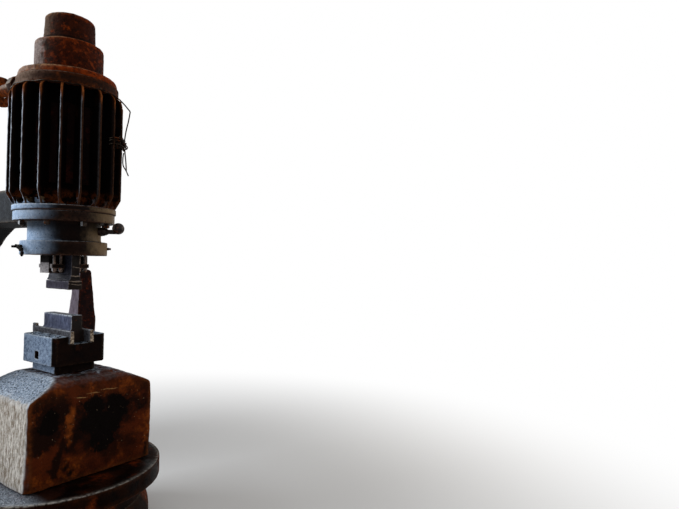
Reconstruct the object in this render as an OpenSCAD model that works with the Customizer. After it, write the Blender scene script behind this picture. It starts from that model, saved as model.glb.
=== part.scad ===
// Small single-frame steam hammer. Millimetres, +Z up. The origin is on the hammer's
// axis at floor level, and +Y points at the frame's column.

/* [Anvil pedestal] */
// Radius of the pedestal's bulged foot on the floor
foot_r = 379; // [355:1:400]
// Height over which the foot bulges out
foot_bulge_h = 90; // [60:1:110]
// Radius of the pedestal's neck under the disc
pedestal_neck_r = 341; // [300:1:350]
// Height of the base disc's underside above the floor
disc_z = 220; // [190:1:260]
// Radius of the base disc
disc_r = 423; // [421:1:450]
// Thickness of the base disc
disc_t = 79; // [60:1:95]

/* [Anvil block] */
// Width of the anvil block along X, at its upper shoulder
block_x = 546; // [520:1:600]
// Depth of the anvil block along Y
block_y = 457; // [430:1:470]
// How far the block's middle lies to the right of the hammer's axis
block_right = 26; // [0:1:36]
// How far the block's middle lies in front of the hammer's axis
block_front = 8.5; // [0:0.5:10]
// Spread of the block's sides towards its foot
block_flare = 8; // [0:1:14]
// Height of the side faces from the disc to the shoulder
block_side_h = 325; // [280:1:330]
// Height from the shoulder to the crown under the sow block
block_crown_h = 92; // [90:1:120]
// Radius of the long rounded shoulders at the front and back
block_shoulder_r = 84; // [60:1:89]
// Radius of the shoulders at the two ends
block_end_r = 34; // [20:1:40]

/* [Sow block] */
// Width of the sow block along X
sow_w = 232; // [220:1:250]
// Length of the sow block along Y
sow_l = 273; // [262:1:290]
// How far the sow block's middle sits in front of the axis
sow_front = 17.5; // [10:0.5:24]
// Height of the sow block above its foot
sow_h = 122; // [105:1:135]
// Height of the narrow foot under the sow block
sow_foot_h = 37; // [25:1:45]
// Inset of the narrow foot from the block's sides
sow_foot_inset = 27; // [18:1:34]
// Chamfer of the sow block's upright edges
sow_chamfer = 16; // [8:1:20]
// Depth of the die slot in the sow block
die_slot_d = 33; // [25:1:38]
// Width of the lifting-bar pocket
bar_pocket_w = 28; // [20:1:34]
// Height of the lifting-bar pocket
bar_pocket_h = 32; // [24:1:38]
// Depth of the lifting-bar pocket
bar_pocket_d = 60; // [40:1:70]
// Height of the pocket's middle above the sow block's foot
bar_pocket_z = 36; // [24:1:50]

/* [Dies] */
// Width of the dies' working part along X
lower_die_w = 49; // [40:1:60]
// Length of the lower die along Y
lower_die_l = 240; // [200:1:260]
// Height of the lower die above the sow block
lower_die_h = 83; // [70:1:110]
// Width of the lower die's root in the slot
die_root_w = 66; // [62:1:72]
// Height of the die root above the slot floor
die_root_h = 48; // [40:1:60]
// Width of a taper key
key_w = 17; // [14:1:22]
// Height of a taper key
key_h = 55; // [40:1:60]
// How far a key stands out of the sow block at the front
key_front = 11; // [6:1:24]
// How far a key stands out of the sow block at the back, with its head
key_back = 47; // [30:1:60]
// Width of the upper die along X
upper_die_w = 62; // [50:1:74]
// Height of the upper die
upper_die_h = 40; // [30:1:60]
// Length of the upper die and the ram bar along Y
ram_l = 196; // [170:1:210]
// Opening between the dies with the ram raised
die_gap = 108; // [70:1:140]

/* [Ram and guide] */
// Thickness of the ram bar along X
ram_t = 36; // [30:1:44]
// Height of the flare from the bar to the upper die
ram_flare_h = 22; // [16:1:30]
// Running clearance of the ram bar in its guides, each side
guide_clearance = 0.5; // [0.3:0.1:1]
// Distance from the guide jaws' ends to the hammer's axis
jaw_x = 86; // [78:1:92]
// Width of a guide jaw along Y
jaw_y = 76; // [60:1:80]
// Height of the guide jaws below the guide flange
jaw_h = 77; // [60:1:84]
// Radius of a guide stud
guide_stud_r = 6; // [5:0.5:7]
// How much smaller the piston rod's radius is than half the ram bar's thickness
rod_step = 0.5; // [0.5:0.5:4]
// Radius of the cylinder bore
bore_r = 118; // [100:1:125]
// Height of the piston
piston_h = 86; // [60:1:110]
// Running clearance of the rod and the piston
rod_clearance = 0.3; // [0.1:0.1:0.5]

/* [Guide housing] */
// Height of the guide flange's underside above the floor
guide_z = 1215; // [1205:1:1225]
// Radius of the guide flange
guide_flange_r = 174; // [165:1:185]
// Thickness of the guide flange
guide_flange_t = 61; // [45:1:70]
// Radius of the neck above the guide flange
neck_r = 147; // [140:1:155]
// Height of the neck
neck_h = 83; // [75:1:95]
// Radius of the small flare at the neck's foot
neck_flare = 9; // [4:1:14]

/* [Frame] */
// Radius of the head ring that carries the cylinder
head_r = 202; // [198:1:206]
// Thickness of the head ring
head_t = 41; // [34:1:50]
// Width of the arm and the column along X
frame_w = 236; // [200:1:260]
// Height of the arm's top above the head ring's underside
arm_h = 159; // [130:1:190]
// Height of the head ring's underside above the foot of the throat's arch
throat_rise = 551; // [520:1:555]
// Radius of the throat's arch
throat_r = 585; // [560:1:600]
// Distance of the arch's middle behind the hammer's axis
throat_y = 540; // [530:1:560]
// Depth of the column along Y
column_d = 425; // [360:1:460]
// Radius of the frame's back corner
back_r = 520; // [420:1:540]
// Depth of the sunk panels in the frame's sides
panel_d = 26; // [10:1:40]
// Width of the rim around a sunk panel
panel_rim = 50; // [36:1:70]
// Thickness of the frame's bolted flanges
flange_t = 32; // [24:1:40]
// How far the bolted flanges stand out
flange_out = 46; // [40:1:60]
// Thickness of the sole plate
sole_t = 60; // [45:1:75]
// Width of the sole plate along X
sole_w = 440; // [420:1:500]
// How far the sole plate runs on behind the column
sole_back = 150; // [130:1:200]
// How far the sole plate reaches under the edge of the pedestal's neck
sole_lap = 40; // [20:1:60]
// Radius of an anchor-bolt hole
anchor_r = 17; // [12:1:20]
// Distance of an anchor bolt from the sole plate's edges
anchor_in = 55; // [40:1:70]
// Distance of the front anchor bolts behind the pedestal's foot
anchor_front = 180; // [120:1:260]

/* [Cylinder] */
// Radius of the cylinder's bottom flange
cyl_flange_r = 207; // [204:1:210]
// Thickness of the cylinder's bottom flange
cyl_flange_t = 25; // [20:1:32]
// Radius of the cylinder's barrel between the ribs
barrel_r = 168; // [150:1:175]
// Height of the ribbed part
rib_h = 505; // [460:1:540]
// Radius of the ribs' outer edges
rib_r = 229; // [222:1:232]
// Thickness of a rib
rib_t = 10; // [8:1:14]
// Number of ribs
rib_count = 18; // [12:1:20]
// Turn of the first rib about the axis
rib_turn = 16; // [0:1:19]
// Radius of the ribs' rounded top shoulders
rib_shoulder_r = 36; // [28:1:44]
// Height of the taper at the ribs' feet
rib_taper_h = 50; // [40:1:60]
// Height of the webs that fill in between each rib and the flange
web_h = 38; // [28:1:44]
// Height of the pads' feet above the cylinder's bottom flange
pad_z = 90; // [60:1:120]
// Height of the pads on the barrel
pad_h = 330; // [250:1:380]
// Width of a pad
pad_w = 30; // [20:1:36]
// How far a pad stands out of the barrel
pad_t = 12; // [8:1:20]
// Radius of the ring on top of the ribs
ring_r = 205; // [200:1:210]
// Thickness of the ring on top of the ribs
ring_t = 44; // [36:1:52]
// Thickness of the cover plate on the ring
cover_t = 31; // [24:1:36]
// Radius of the cover drum
drum_r = 140; // [130:1:150]
// Height of the cover drum
drum_h = 138; // [120:1:150]
// Radius of the buffer cap at its foot
cap_r = 106; // [95:1:112]
// Height of the buffer cap
cap_h = 122; // [105:1:130]

/* [Fittings] */
// Number of bolts under the head ring
head_bolt_count = 8; // [6:1:8]
// Radius of the circle of bolts under the head ring
head_bolt_pcr = 178; // [174:1:180]
// Width of a square bolt head
bolt_head_w = 20; // [16:1:22]
// Height of a square bolt head
bolt_head_h = 18; // [12:1:22]
// Radius of the drain cock's ball handle
cock_ball_r = 26; // [20:1:28]
// Distance from the axis to the middle of the ball
cock_reach = 229; // [226:1:250]
// Radius of the binding wire
wire_r = 3.5; // [2.5:0.5:5]
// Height of the tie clip's underside above the cylinder's bottom flange
clip_z = 236; // [180:1:300]
// Height of the tie clip on the rib
clip_h = 85; // [60:1:100]
// Width of the tie clip
clip_w = 40; // [30:1:50]

/* [Valve chest] */
// Width of the valve chest along its own X
chest_w = 160; // [130:1:190]
// Depth of the valve chest
chest_d = 170; // [150:1:200]
// Height of the valve chest
chest_h = 250; // [220:1:280]
// Height of the chest's underside above the cylinder's bottom flange
chest_z = 245; // [220:1:260]
// Gap between the chest and the ribs' edges
chest_gap = 8; // [5:1:20]
// Thickness of the chest's side covers
chest_cover_t = 20; // [14:1:26]
// Radius of the steam pipe
pipe_r = 30; // [24:1:36]
// Height of the steam pipe above the cover plate
pipe_z = 58; // [50:1:80]
// Distance from the axis to the steam pipe's end flange
pipe_end = 690; // [640:1:760]
// Distance from the axis to the union on the steam pipe
union_y = 470; // [440:1:560]
// Length of the union
union_l = 50; // [40:1:70]
// Radius of the steam pipe's bore
pipe_bore_r = 22; // [16:1:24]
// Radius of the steam pipe's end flange
pipe_flange_r = 78; // [75:1:95]

/* [Rear posts] */
// Distance of a rear post's middle from the axis along X
post_x = 242; // [236:1:244]
// Gap between the anvil block's foot and a rear post
post_gap = 4; // [2:1:8]
// Width of a rear post along X
post_w = 98; // [80:1:100]
// Depth of a rear post along Y
post_d = 97; // [80:1:98]
// Height of a rear post above the disc
post_h = 851; // [780:1:870]
// Width of a rear post at its top
post_top_w = 62; // [46:1:72]
// Height of the post's tapered upper part
post_taper_h = 250; // [180:1:300]

/* [Hidden] */

$fn = 64;

// Heights that follow from the driving sizes
block_z = disc_z + disc_t;
sow_z = block_z + block_side_h + block_crown_h;
sow_top = sow_z + sow_foot_h + sow_h;
slot_z = sow_top - die_slot_d;
die_face_z = sow_top + lower_die_h;
upper_die_z = die_face_z + die_gap;
upper_die_top = upper_die_z + upper_die_h;
ram_shoulder_z = upper_die_top + ram_flare_h;
neck_z = guide_z + guide_flange_t;
head_z = neck_z + neck_h;
arm_top = head_z + arm_h;
cyl_z = head_z + head_t;
rib_z = cyl_z + cyl_flange_t;
ring_z = rib_z + rib_h;
cover_z = ring_z + ring_t;
drum_z = cover_z + cover_t;
cap_z = drum_z + drum_h;

// Ram travel down to 5 mm above the lower die, and places that leave room for it
ram_stop = 5;
ram_travel = die_gap - ram_stop;
ram_head_room = 14;
ram_top = head_z - ram_head_room;
rod_r = ram_t / 2 - rod_step;
piston_head_room = 30;
piston_z = ring_z - piston_h - piston_head_room;
key_side = 4; // lean of a key's side over its height

// Frame outline
throat_z = head_z - throat_rise;
column_y0 = throat_y + throat_r;
column_y1 = column_y0 + column_d;
sole_y1 = column_y1 + sole_back;
sole_front = pedestal_neck_r - sole_lap;
anchor_x = sole_w / 2 - anchor_in;
anchor_y0 = foot_r + anchor_front;
anchor_y1 = sole_y1 - anchor_in;

// Chest and pipe places. The chest's ports sit in the gap between two ribs that is nearest to the column.
rib_pitch = 360 / rib_count;
chest_gap_no = round((90 - rib_turn) / rib_pitch - 0.5);
chest_turn = rib_turn + (chest_gap_no + 0.5) * rib_pitch - 90;
chest_y0 = rib_r + chest_gap;
chest_base = cyl_z + chest_z;
pipe_axis_z = drum_z + pipe_z;

post_y = block_y / 2 - block_front + block_flare + post_gap + post_d / 2;

// Quarter or part arc in a plane, as points
function arc(cx, cy, r, a0, a1, n = 12) =
    [for (i = [0:n]) [cx + r * cos(a0 + (a1 - a0) * i / n), cy + r * sin(a0 + (a1 - a0) * i / n)]];

// Extrudes an XZ outline along Y, centred
module slab_y(length) {
    rotate([90, 0, 0]) linear_extrude(length, center = true) children();
}

// Extrudes a YZ outline along X, centred
module slab_x(length) {
    rotate([90, 0, 90]) linear_extrude(length, center = true) children();
}

// Rectangle with cut corners
module chamfered(w, d, c) {
    polygon([
        [-w / 2 + c, -d / 2], [w / 2 - c, -d / 2], [w / 2, -d / 2 + c], [w / 2, d / 2 - c],
        [w / 2 - c, d / 2], [-w / 2 + c, d / 2], [-w / 2, d / 2 - c], [-w / 2, -d / 2 + c],
    ]);
}

// Straight round bar between two points
module bar(a, b, r) {
    v = b - a;
    l = norm(v);
    translate(a) rotate([0, acos(v.z / l), atan2(v.y, v.x)]) cylinder(h = l, r = r);
}

module pedestal() {
    color("saddlebrown")
    rotate_extrude()
    polygon(concat(
        [[0, 0], [foot_r, 0]],
        [for (a = [0:10:90])
            [pedestal_neck_r + (foot_r - pedestal_neck_r) * cos(a), sole_t + foot_bulge_h * sin(a)]],
        [[pedestal_neck_r, disc_z], [0, disc_z]]
    ));
}

module base_disc() {
    edge = 9;
    color("dimgray")
    rotate_extrude()
    polygon(concat(
        [[0, disc_z]],
        arc(disc_r - edge, disc_z + edge, edge, -90, 0, 4),
        arc(disc_r - edge, block_z - edge, edge, 0, 90, 4),
        [[0, block_z]]
    ));
}

// Anvil block outline seen from the front: sloping ends with small round shoulders
module block_end_outline() {
    half = block_x / 2;
    shoulder_z = block_z + block_side_h;
    flat = sow_w / 2 + 22;
    polygon([
        [-half - block_flare, block_z], [half + block_flare, block_z],
        each arc(half - block_end_r, shoulder_z, block_end_r, 0, 65, 6),
        [flat, sow_z], [-flat, sow_z],
        each arc(-half + block_end_r, shoulder_z, block_end_r, 115, 180, 6),
    ]);
}

// Anvil block outline seen from the end: big round shoulders at the front and back
module block_side_outline() {
    half = block_y / 2;
    shoulder_z = sow_z - block_shoulder_r - 4;
    polygon([
        [-half - block_flare, block_z], [half + block_flare, block_z],
        each arc(half - block_shoulder_r, shoulder_z, block_shoulder_r, 0, 80, 8),
        [sow_l / 2, sow_z], [-sow_l / 2, sow_z],
        each arc(-half + block_shoulder_r, shoulder_z, block_shoulder_r, 100, 180, 8),
    ]);
}

module anvil_block() {
    edge = 22;
    color("sienna")
    translate([block_right, -block_front, 0])
    intersection() {
        slab_y(2 * block_y) block_end_outline();
        slab_x(2 * block_x) block_side_outline();
        translate([0, 0, block_z])
            linear_extrude(sow_z - block_z)
            chamfered(block_x + 2 * block_flare, block_y + 2 * block_flare, edge);
    }
}

// Slot for the die root and its two keys, with sides that lean in as the keys' sides do
module die_slot_outline() {
    foot = die_root_w / 2 + key_w + key_side;
    cut_h = die_slot_d + 1;
    top = foot - key_side * cut_h / key_h;
    polygon([[-foot, slot_z], [foot, slot_z], [top, slot_z + cut_h], [-top, slot_z + cut_h]]);
}

module bar_pocket() {
    off = -16;
    foot = sow_z + sow_foot_h + bar_pocket_z - bar_pocket_h / 2;
    translate([sow_w / 2 - bar_pocket_d, off - bar_pocket_w / 2, foot])
        cube([bar_pocket_d + 1, bar_pocket_w, bar_pocket_h]);
}

module sow_block() {
    foot_w = sow_w - 2 * sow_foot_inset;
    foot_l = sow_l - 2 * sow_foot_inset;
    color("slategray")
    difference() {
        union() {
            translate([0, -sow_front, sow_z]) linear_extrude(sow_foot_h) chamfered(foot_w, foot_l, sow_chamfer);
            translate([0, -sow_front, sow_z + sow_foot_h]) linear_extrude(sow_h) chamfered(sow_w, sow_l, sow_chamfer);
        }
        slab_y(2 * sow_l) die_slot_outline();
        bar_pocket();
        mirror([1, 0, 0]) bar_pocket();
    }
}

module lower_die() {
    root = die_root_w / 2;
    half = lower_die_w / 2;
    root_z = slot_z + die_root_h;
    slope_h = 10;
    edge = 2;
    color("lightslategray")
    slab_y(lower_die_l)
    polygon([
        [-root, slot_z], [root, slot_z], [root, root_z], [half, root_z + slope_h],
        [half, die_face_z - edge], [half - edge, die_face_z],
        [edge - half, die_face_z], [-half, die_face_z - edge],
        [-half, root_z + slope_h], [-root, root_z],
    ]);
}

// Taper key beside the die root, with a gib head at the back
module die_key() {
    inner = die_root_w / 2;
    head_l = 24;
    head_h = 12;
    color("gray")
    union() {
        translate([0, (key_back - key_front) / 2 - sow_front, 0])
        slab_y(sow_l + key_front + key_back)
        polygon([
            [inner, slot_z], [inner + key_w + key_side, slot_z],
            [inner + key_w, slot_z + key_h], [inner, slot_z + key_h],
        ]);
        translate([inner, sow_l / 2 - sow_front + key_back - head_l, slot_z + key_h])
            cube([key_w, head_l, head_h]);
    }
}

module die_key_right() { die_key(); }
module die_key_left() { mirror([1, 0, 0]) die_key(); }

module rear_post_right() {
    taper_z = block_z + post_h - post_taper_h;
    top_z = block_z + post_h;
    crown = 14;
    color("sienna")
    translate([post_x, post_y, 0])
    intersection() {
        linear_extrude(2 * top_z) post_plan();
        slab_y(2 * post_d) post_outline(post_w, post_top_w, taper_z, top_z, crown);
        slab_x(2 * post_w) post_outline(post_d, post_top_w, taper_z, top_z, crown);
    }
}

// Plan of a rear post, with its outer back corner cut off to stay on the disc
module post_plan() {
    cut = 29;
    polygon([
        [-post_w / 2, -post_d / 2], [post_w / 2, -post_d / 2], [post_w / 2, post_d / 2 - cut],
        [post_w / 2 - cut, post_d / 2], [-post_w / 2, post_d / 2],
    ]);
}

module post_outline(foot, top, taper_z, top_z, crown) {
    polygon([
        [-foot / 2, block_z], [foot / 2, block_z], [foot / 2, taper_z],
        each arc(top / 2 - crown, top_z - crown, crown, 0, 90, 5),
        each arc(-top / 2 + crown, top_z - crown, crown, 90, 180, 5),
        [-foot / 2, taper_z],
    ]);
}

module rear_post_left() { mirror([1, 0, 0]) rear_post_right(); }

module sole_plate() {
    color("dimgray")
    difference() {
        translate([-sole_w / 2, sole_front, 0]) cube([sole_w, sole_y1 - sole_front, sole_t]);
        translate([0, 0, -1]) cylinder(h = sole_t + 2, r = foot_r, $fn = 128);
        for (x = [-anchor_x, anchor_x], y = [anchor_y0, anchor_y1])
            translate([x, y, -1]) cylinder(h = sole_t + 2, r = anchor_r);
    }
}

// Flange around the column, wider than it by flange_out on the two sides and the back
module column_flange(z) {
    translate([-frame_w / 2 - flange_out, column_y0, z])
        cube([frame_w + 2 * flange_out, column_d + flange_out, flange_t]);
}

module frame_column() {
    panel_l = column_d - 2 * panel_rim;
    panel_h = throat_z - sole_t - 2 * flange_t - 2 * panel_rim;
    color("darkslategray")
    difference() {
        union() {
            translate([-frame_w / 2, column_y0, sole_t])
                cube([frame_w, column_d, throat_z - sole_t]);
            column_flange(sole_t);
            column_flange(throat_z - flange_t);
        }
        for (side = [-1, 1])
            translate([side * (frame_w - panel_d + 1) / 2, column_y0 + column_d / 2, (sole_t + throat_z) / 2])
                cube([panel_d + 1, panel_l, panel_h], center = true);
    }
}

// Side view of the arm: head ring level, throat arch, column top and round back
module arm_outline() {
    flat_end = throat_y + sqrt(pow(throat_r, 2) - pow(head_z - throat_z, 2));
    arch_a = atan2(head_z - throat_z, flat_end - throat_y);
    polygon(concat(
        [[0, head_z], [0, arm_top]],
        arc(column_y1 - back_r, arm_top - back_r, back_r, 90, 0, 14),
        [[column_y1, throat_z], [column_y0, throat_z]],
        arc(throat_y, throat_z, throat_r, 0, arch_a, 12)
    ));
}

// Sunk panel in each side of the arm
module arm_panel() {
    foot_z = throat_z + flange_t + panel_rim;
    polygon(concat(
        arc(column_y1 - back_r, arm_top - back_r, back_r - panel_rim, 80, 8, 10),
        [[column_y1 - panel_rim, foot_z], [column_y0 + panel_rim, foot_z]],
        arc(throat_y, throat_z, throat_r + panel_rim, 12, 56, 8)
    ));
}

module frame_arm() {
    color("darkslategray")
    difference() {
        union() {
            slab_x(frame_w) arm_outline();
            translate([0, 0, head_z]) cylinder(h = head_t, r = head_r, $fn = 128);
            column_flange(throat_z);
        }
        translate([0, 0, cyl_z]) cylinder(h = arm_h, r = rib_r + chest_gap, $fn = 128);
        translate([0, 0, head_z - 1]) cylinder(h = head_t + 2, r = rod_r + rod_clearance);
        for (side = [-1, 1])
            translate([side * (frame_w - panel_d + 1) / 2, 0, 0]) slab_x(panel_d + 1) arm_panel();
    }
}

// Bolts through the two flanges where the arm stands on the column
module frame_bolts() {
    head = 30;
    head_l = 18;
    end_in = 60;
    color("dimgray")
    for (side = [-1, 1], y = [column_y0 + end_in, column_y0 + column_d / 2, column_y1 - end_in])
        for (z = [throat_z + flange_t, throat_z - flange_t - head_l])
            translate([side * (frame_w + flange_out) / 2, y, z]) cylinder(h = head_l, r = head / 2, $fn = 6);
}

module ram_slot(z, h) {
    g = guide_clearance;
    translate([-ram_t / 2 - g, -ram_l / 2 - g, z]) cube([ram_t + 2 * g, ram_l + 2 * g, h]);
}

module neck() {
    color("slategray")
    difference() {
        rotate_extrude($fn = 128)
        polygon([
            [0, neck_z], [neck_r + neck_flare, neck_z],
            each arc(neck_r + neck_flare, neck_z + neck_flare, neck_flare, 270, 180, 5),
            [neck_r, head_z], [0, head_z],
        ]);
        ram_slot(neck_z - 1, neck_h + 2);
    }
}

module guide_flange() {
    edge = 4;
    color("slategray")
    difference() {
        rotate_extrude($fn = 128)
        polygon([
            [0, guide_z], [guide_flange_r - edge, guide_z], [guide_flange_r, guide_z + edge],
            [guide_flange_r, neck_z - edge], [guide_flange_r - edge, neck_z], [0, neck_z],
        ]);
        ram_slot(guide_z - 1, guide_flange_t + 2);
    }
}

// Jaw on one side of the ram bar, hung from the guide flange, with two ears for the studs
ear_out = 20;
ear_t = 18;
ear_z0 = guide_z - 55;
stud_x = [jaw_x - 46, jaw_x - 18];
module guide_jaw() {
    inner = ram_t / 2 + guide_clearance;
    ear_x0 = inner + 8;
    ear_x1 = jaw_x - 4;
    color("gray")
    difference() {
        union() {
            translate([inner, -jaw_y / 2, guide_z - jaw_h]) cube([jaw_x - inner, jaw_y, jaw_h]);
            translate([ear_x0, -jaw_y / 2 - ear_out, ear_z0])
                cube([ear_x1 - ear_x0, jaw_y + 2 * ear_out, ear_t]);
        }
        for (x = stud_x, side = [-1, 1])
            translate([x, side * (jaw_y / 2 + ear_out / 2), ear_z0 - 1]) cylinder(h = ear_t + 2, r = guide_stud_r);
    }
}

module guide_jaw_right() { guide_jaw(); }
module guide_jaw_left() { mirror([1, 0, 0]) guide_jaw(); }

module guide_studs() {
    nut_h = 14;
    end_h = 4;
    foot = ear_z0 - nut_h - end_h;
    color("silver")
    for (mx = [-1, 1], x = stud_x, side = [-1, 1])
        translate([mx * x, side * (jaw_y + ear_out) / 2, 0]) {
            translate([0, 0, foot]) cylinder(h = guide_z - foot, r = guide_stud_r);
            translate([0, 0, ear_z0 - nut_h]) cylinder(h = nut_h, r = guide_stud_r + 4, $fn = 6);
        }
}

// Wing bolt in the guide flange's side, towards the window, with its wings a little turned
screw_drop = 28;
module wing_bolt() {
    turn = 175;
    tilt = -18;
    shank_l = 27;
    shank_r = 8;
    wings = [10, 66, 16];
    color("black")
    rotate([0, 0, turn])
    translate([guide_flange_r, 0, neck_z - screw_drop]) {
        rotate([0, 90, 0]) cylinder(h = shank_l, r = shank_r);
        translate([shank_l, 0, 0]) rotate([tilt, 0, 0]) cube(wings, center = true);
    }
}

// Two short set screws on the right of the guide housing
module set_screws() {
    turn = -34;
    out = 15;
    r = 6.5;
    neck_screw_z = 36;
    color("dimgray")
    rotate([0, 0, turn]) {
        translate([guide_flange_r, 0, neck_z - screw_drop]) rotate([0, 90, 0]) cylinder(h = out, r = r);
        translate([neck_r, 0, neck_z + neck_screw_z]) rotate([0, 90, 0]) cylinder(h = out, r = r);
    }
}

module head_bolts() {
    turn = -4.5;
    color("dimgray")
    for (i = [0:head_bolt_count - 1])
        rotate([0, 0, turn + i * 360 / head_bolt_count])
        translate([head_bolt_pcr, 0, head_z - bolt_head_h / 2])
        cube([bolt_head_w, bolt_head_w, bolt_head_h], center = true);
}

// Drain cock on the neck: a boss, a hexagon and a stem that carries the ball from below
cock_turn = -50;
cock_boss_r = 15;
cock_z = head_z - bolt_head_h - cock_boss_r - 2;
cock_ball_at = [cock_reach, 0, head_z - cock_ball_r + 6];
module drain_cock() {
    boss_l = 10;
    hex_l = 16;
    stem_r = 8;
    seat = 0.2;
    color("saddlebrown")
    rotate([0, 0, cock_turn])
    difference() {
        translate([0, 0, cock_z]) rotate([0, 90, 0]) union() {
            cylinder(h = neck_r + boss_l, r = cock_boss_r);
            translate([0, 0, neck_r + boss_l]) cylinder(h = hex_l, r = cock_boss_r - 1, $fn = 6);
            translate([0, 0, neck_r]) cylinder(h = cock_reach - neck_r, r = stem_r);
        }
        translate([0, 0, neck_z]) cylinder(h = 2 * neck_h, r = neck_r, $fn = 128);
        translate(cock_ball_at) sphere(r = cock_ball_r + seat);
    }
}

module cock_ball() {
    color("black")
    rotate([0, 0, cock_turn]) translate(cock_ball_at) sphere(r = cock_ball_r);
}

// Outline of one rib in the radius and height plane
rib_foot_in = 4;
rib_root = 10;
module rib_outline() {
    s = rib_shoulder_r;
    polygon([
        [barrel_r - rib_root, rib_z - 1], [cyl_flange_r - rib_foot_in, rib_z - 1],
        [cyl_flange_r - rib_foot_in, rib_z], [rib_r, rib_z + rib_taper_h],
        each arc(rib_r - s, ring_z - s, s, 0, 90, 8),
        [barrel_r - rib_root, ring_z],
    ]);
}

// Web that fills in both sides of a rib's foot, hollow-sided, in the tangent and height plane
web_root = 5;
web_edge = 1.5;
module web_outline() {
    foot = (barrel_r - web_root) * sin(rib_pitch / 2) - 0.4;
    inner = rib_t / 2 - 1;
    side = foot - inner;
    polygon([
        [-foot, rib_z - 2 * web_edge], [foot, rib_z - 2 * web_edge],
        each [for (a = [0:15:90]) [inner + side * (1 - sin(a)), rib_z + web_edge + web_h * (1 - cos(a))]],
        each [for (a = [90:-15:0]) [-inner - side * (1 - sin(a)), rib_z + web_edge + web_h * (1 - cos(a))]],
    ]);
}

module ribs() {
    web_l = cyl_flange_r - rib_foot_in - web_edge - barrel_r + web_root;
    for (i = [0:rib_count - 1])
        rotate([0, 0, rib_turn + i * rib_pitch]) {
            rotate([90, 0, 0]) linear_extrude(rib_t, center = true) rib_outline();
            translate([barrel_r - web_root + web_l / 2, 0, 0]) slab_x(web_l) web_outline();
        }
}

module ribbed_barrel() {
    color("dimgray")
    difference() {
        union() {
            translate([0, 0, cyl_z]) cylinder(h = cyl_flange_t, r = cyl_flange_r, $fn = 128);
            translate([0, 0, rib_z]) cylinder(h = rib_h, r = barrel_r, $fn = 128);
            ribs();
        }
        translate([0, 0, rib_z]) cylinder(h = rib_h + 1, r = bore_r, $fn = 128);
        translate([0, 0, cyl_z - 1]) cylinder(h = cyl_flange_t + 2, r = rod_r + rod_clearance);
    }
}

// Upright pads on the barrel, one in each gap but the one that the chest's ports use
module barrel_pads() {
    color("maroon")
    difference() {
        for (i = [0:rib_count - 1])
            if (i != chest_gap_no)
                rotate([0, 0, rib_turn + (i + 0.5) * rib_pitch])
                translate([barrel_r - rib_root, -pad_w / 2, rib_z + pad_z]) cube([pad_t + rib_root, pad_w, pad_h]);
        translate([0, 0, rib_z]) cylinder(h = rib_h, r = barrel_r, $fn = 128);
    }
}

module top_ring() {
    color("saddlebrown")
    difference() {
        translate([0, 0, ring_z]) cylinder(h = ring_t, r = ring_r, $fn = 128);
        translate([0, 0, ring_z - 1]) cylinder(h = ring_t + 2, r = bore_r, $fn = 128);
    }
}

module cover_plate() {
    edge = 16;
    step = 5;
    color("chocolate")
    rotate_extrude($fn = 128)
    polygon([
        [0, cover_z], [ring_r - step, cover_z],
        each arc(ring_r - step - edge, drum_z - edge, edge, 0, 90, 6),
        [0, drum_z],
    ]);
}

module cover_drum() {
    edge = 8;
    color("saddlebrown")
    rotate_extrude($fn = 128)
    polygon([
        [0, drum_z], [drum_r, drum_z],
        each arc(drum_r - edge, cap_z - edge, edge, 0, 90, 4),
        [0, cap_z],
    ]);
}

module buffer_cap() {
    edge = 14;
    taper = 4;
    color("sienna")
    rotate_extrude($fn = 96)
    polygon([
        [0, cap_z], [cap_r, cap_z],
        each arc(cap_r - taper - edge, cap_z + cap_h - edge, edge, 0, 90, 5),
        [0, cap_z + cap_h],
    ]);
}

// Tube swept along a bent path in the upright plane at one turn about the axis.
// Each path point is a radius and a height.
module bent_tube(path, turn, r, sides = 8) {
    last = len(path) - 1;
    across = [-sin(turn), cos(turn), 0];
    function at(i) = [path[i].x * cos(turn), path[i].x * sin(turn), path[i].y];
    function along(i) =
        let (v = at(min(i + 1, last)) - at(max(i - 1, 0)))
        v / norm(v);
    points = [
        for (i = [0:last], k = [0:sides - 1])
            at(i) + r * (cos(k * 360 / sides) * across + sin(k * 360 / sides) * cross(along(i), across)),
    ];
    sides_faces = [
        for (i = [0:last - 1], k = [0:sides - 1])
            let (n = (k + 1) % sides)
            [i * sides + k, (i + 1) * sides + k, (i + 1) * sides + n, i * sides + n],
    ];
    polyhedron(points, concat(
        [[for (k = [0:sides - 1]) k]],
        sides_faces,
        [[for (k = [sides - 1:-1:0]) last * sides + k]]
    ));
}

// Wire bound round the ribs' shoulders, with a bent tail down to the tie clip
clip_turn = rib_turn - 3 * rib_pitch;
clip_base = rib_z + clip_z;
clip_out = 22;
wire_gap = 0.3;
module binding_wire() {
    seat_a = 50;
    off = rib_shoulder_r + wire_r + wire_gap;
    loop_r = rib_r - rib_shoulder_r + off * cos(seat_a);
    loop_z = ring_z - rib_shoulder_r + off * sin(seat_a);
    bow = 34;
    bow_drop = 62;
    color("black") {
        translate([0, 0, loop_z]) rotate_extrude($fn = 96) translate([loop_r, 0]) circle(r = wire_r, $fn = 24);
        bent_tube([
            [loop_r + 2 * wire_r + wire_gap, loop_z],
            [rib_r + bow, loop_z - bow_drop],
            [rib_r + clip_out / 2, clip_base + clip_h + wire_gap],
        ], clip_turn, wire_r);
    }
}

// Clip that sits over one rib and holds the wire's end
module tie_clip() {
    depth = 26;
    slot_w = rib_t + 2 * wire_gap;
    color("black")
    rotate([0, 0, clip_turn])
    difference() {
        translate([rib_r - depth, -clip_w / 2, clip_base]) cube([depth + clip_out, clip_w, clip_h]);
        translate([rib_r - depth - 1, -slot_w / 2, clip_base - 1]) cube([depth + 1, slot_w, clip_h + 2]);
    }
}

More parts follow.
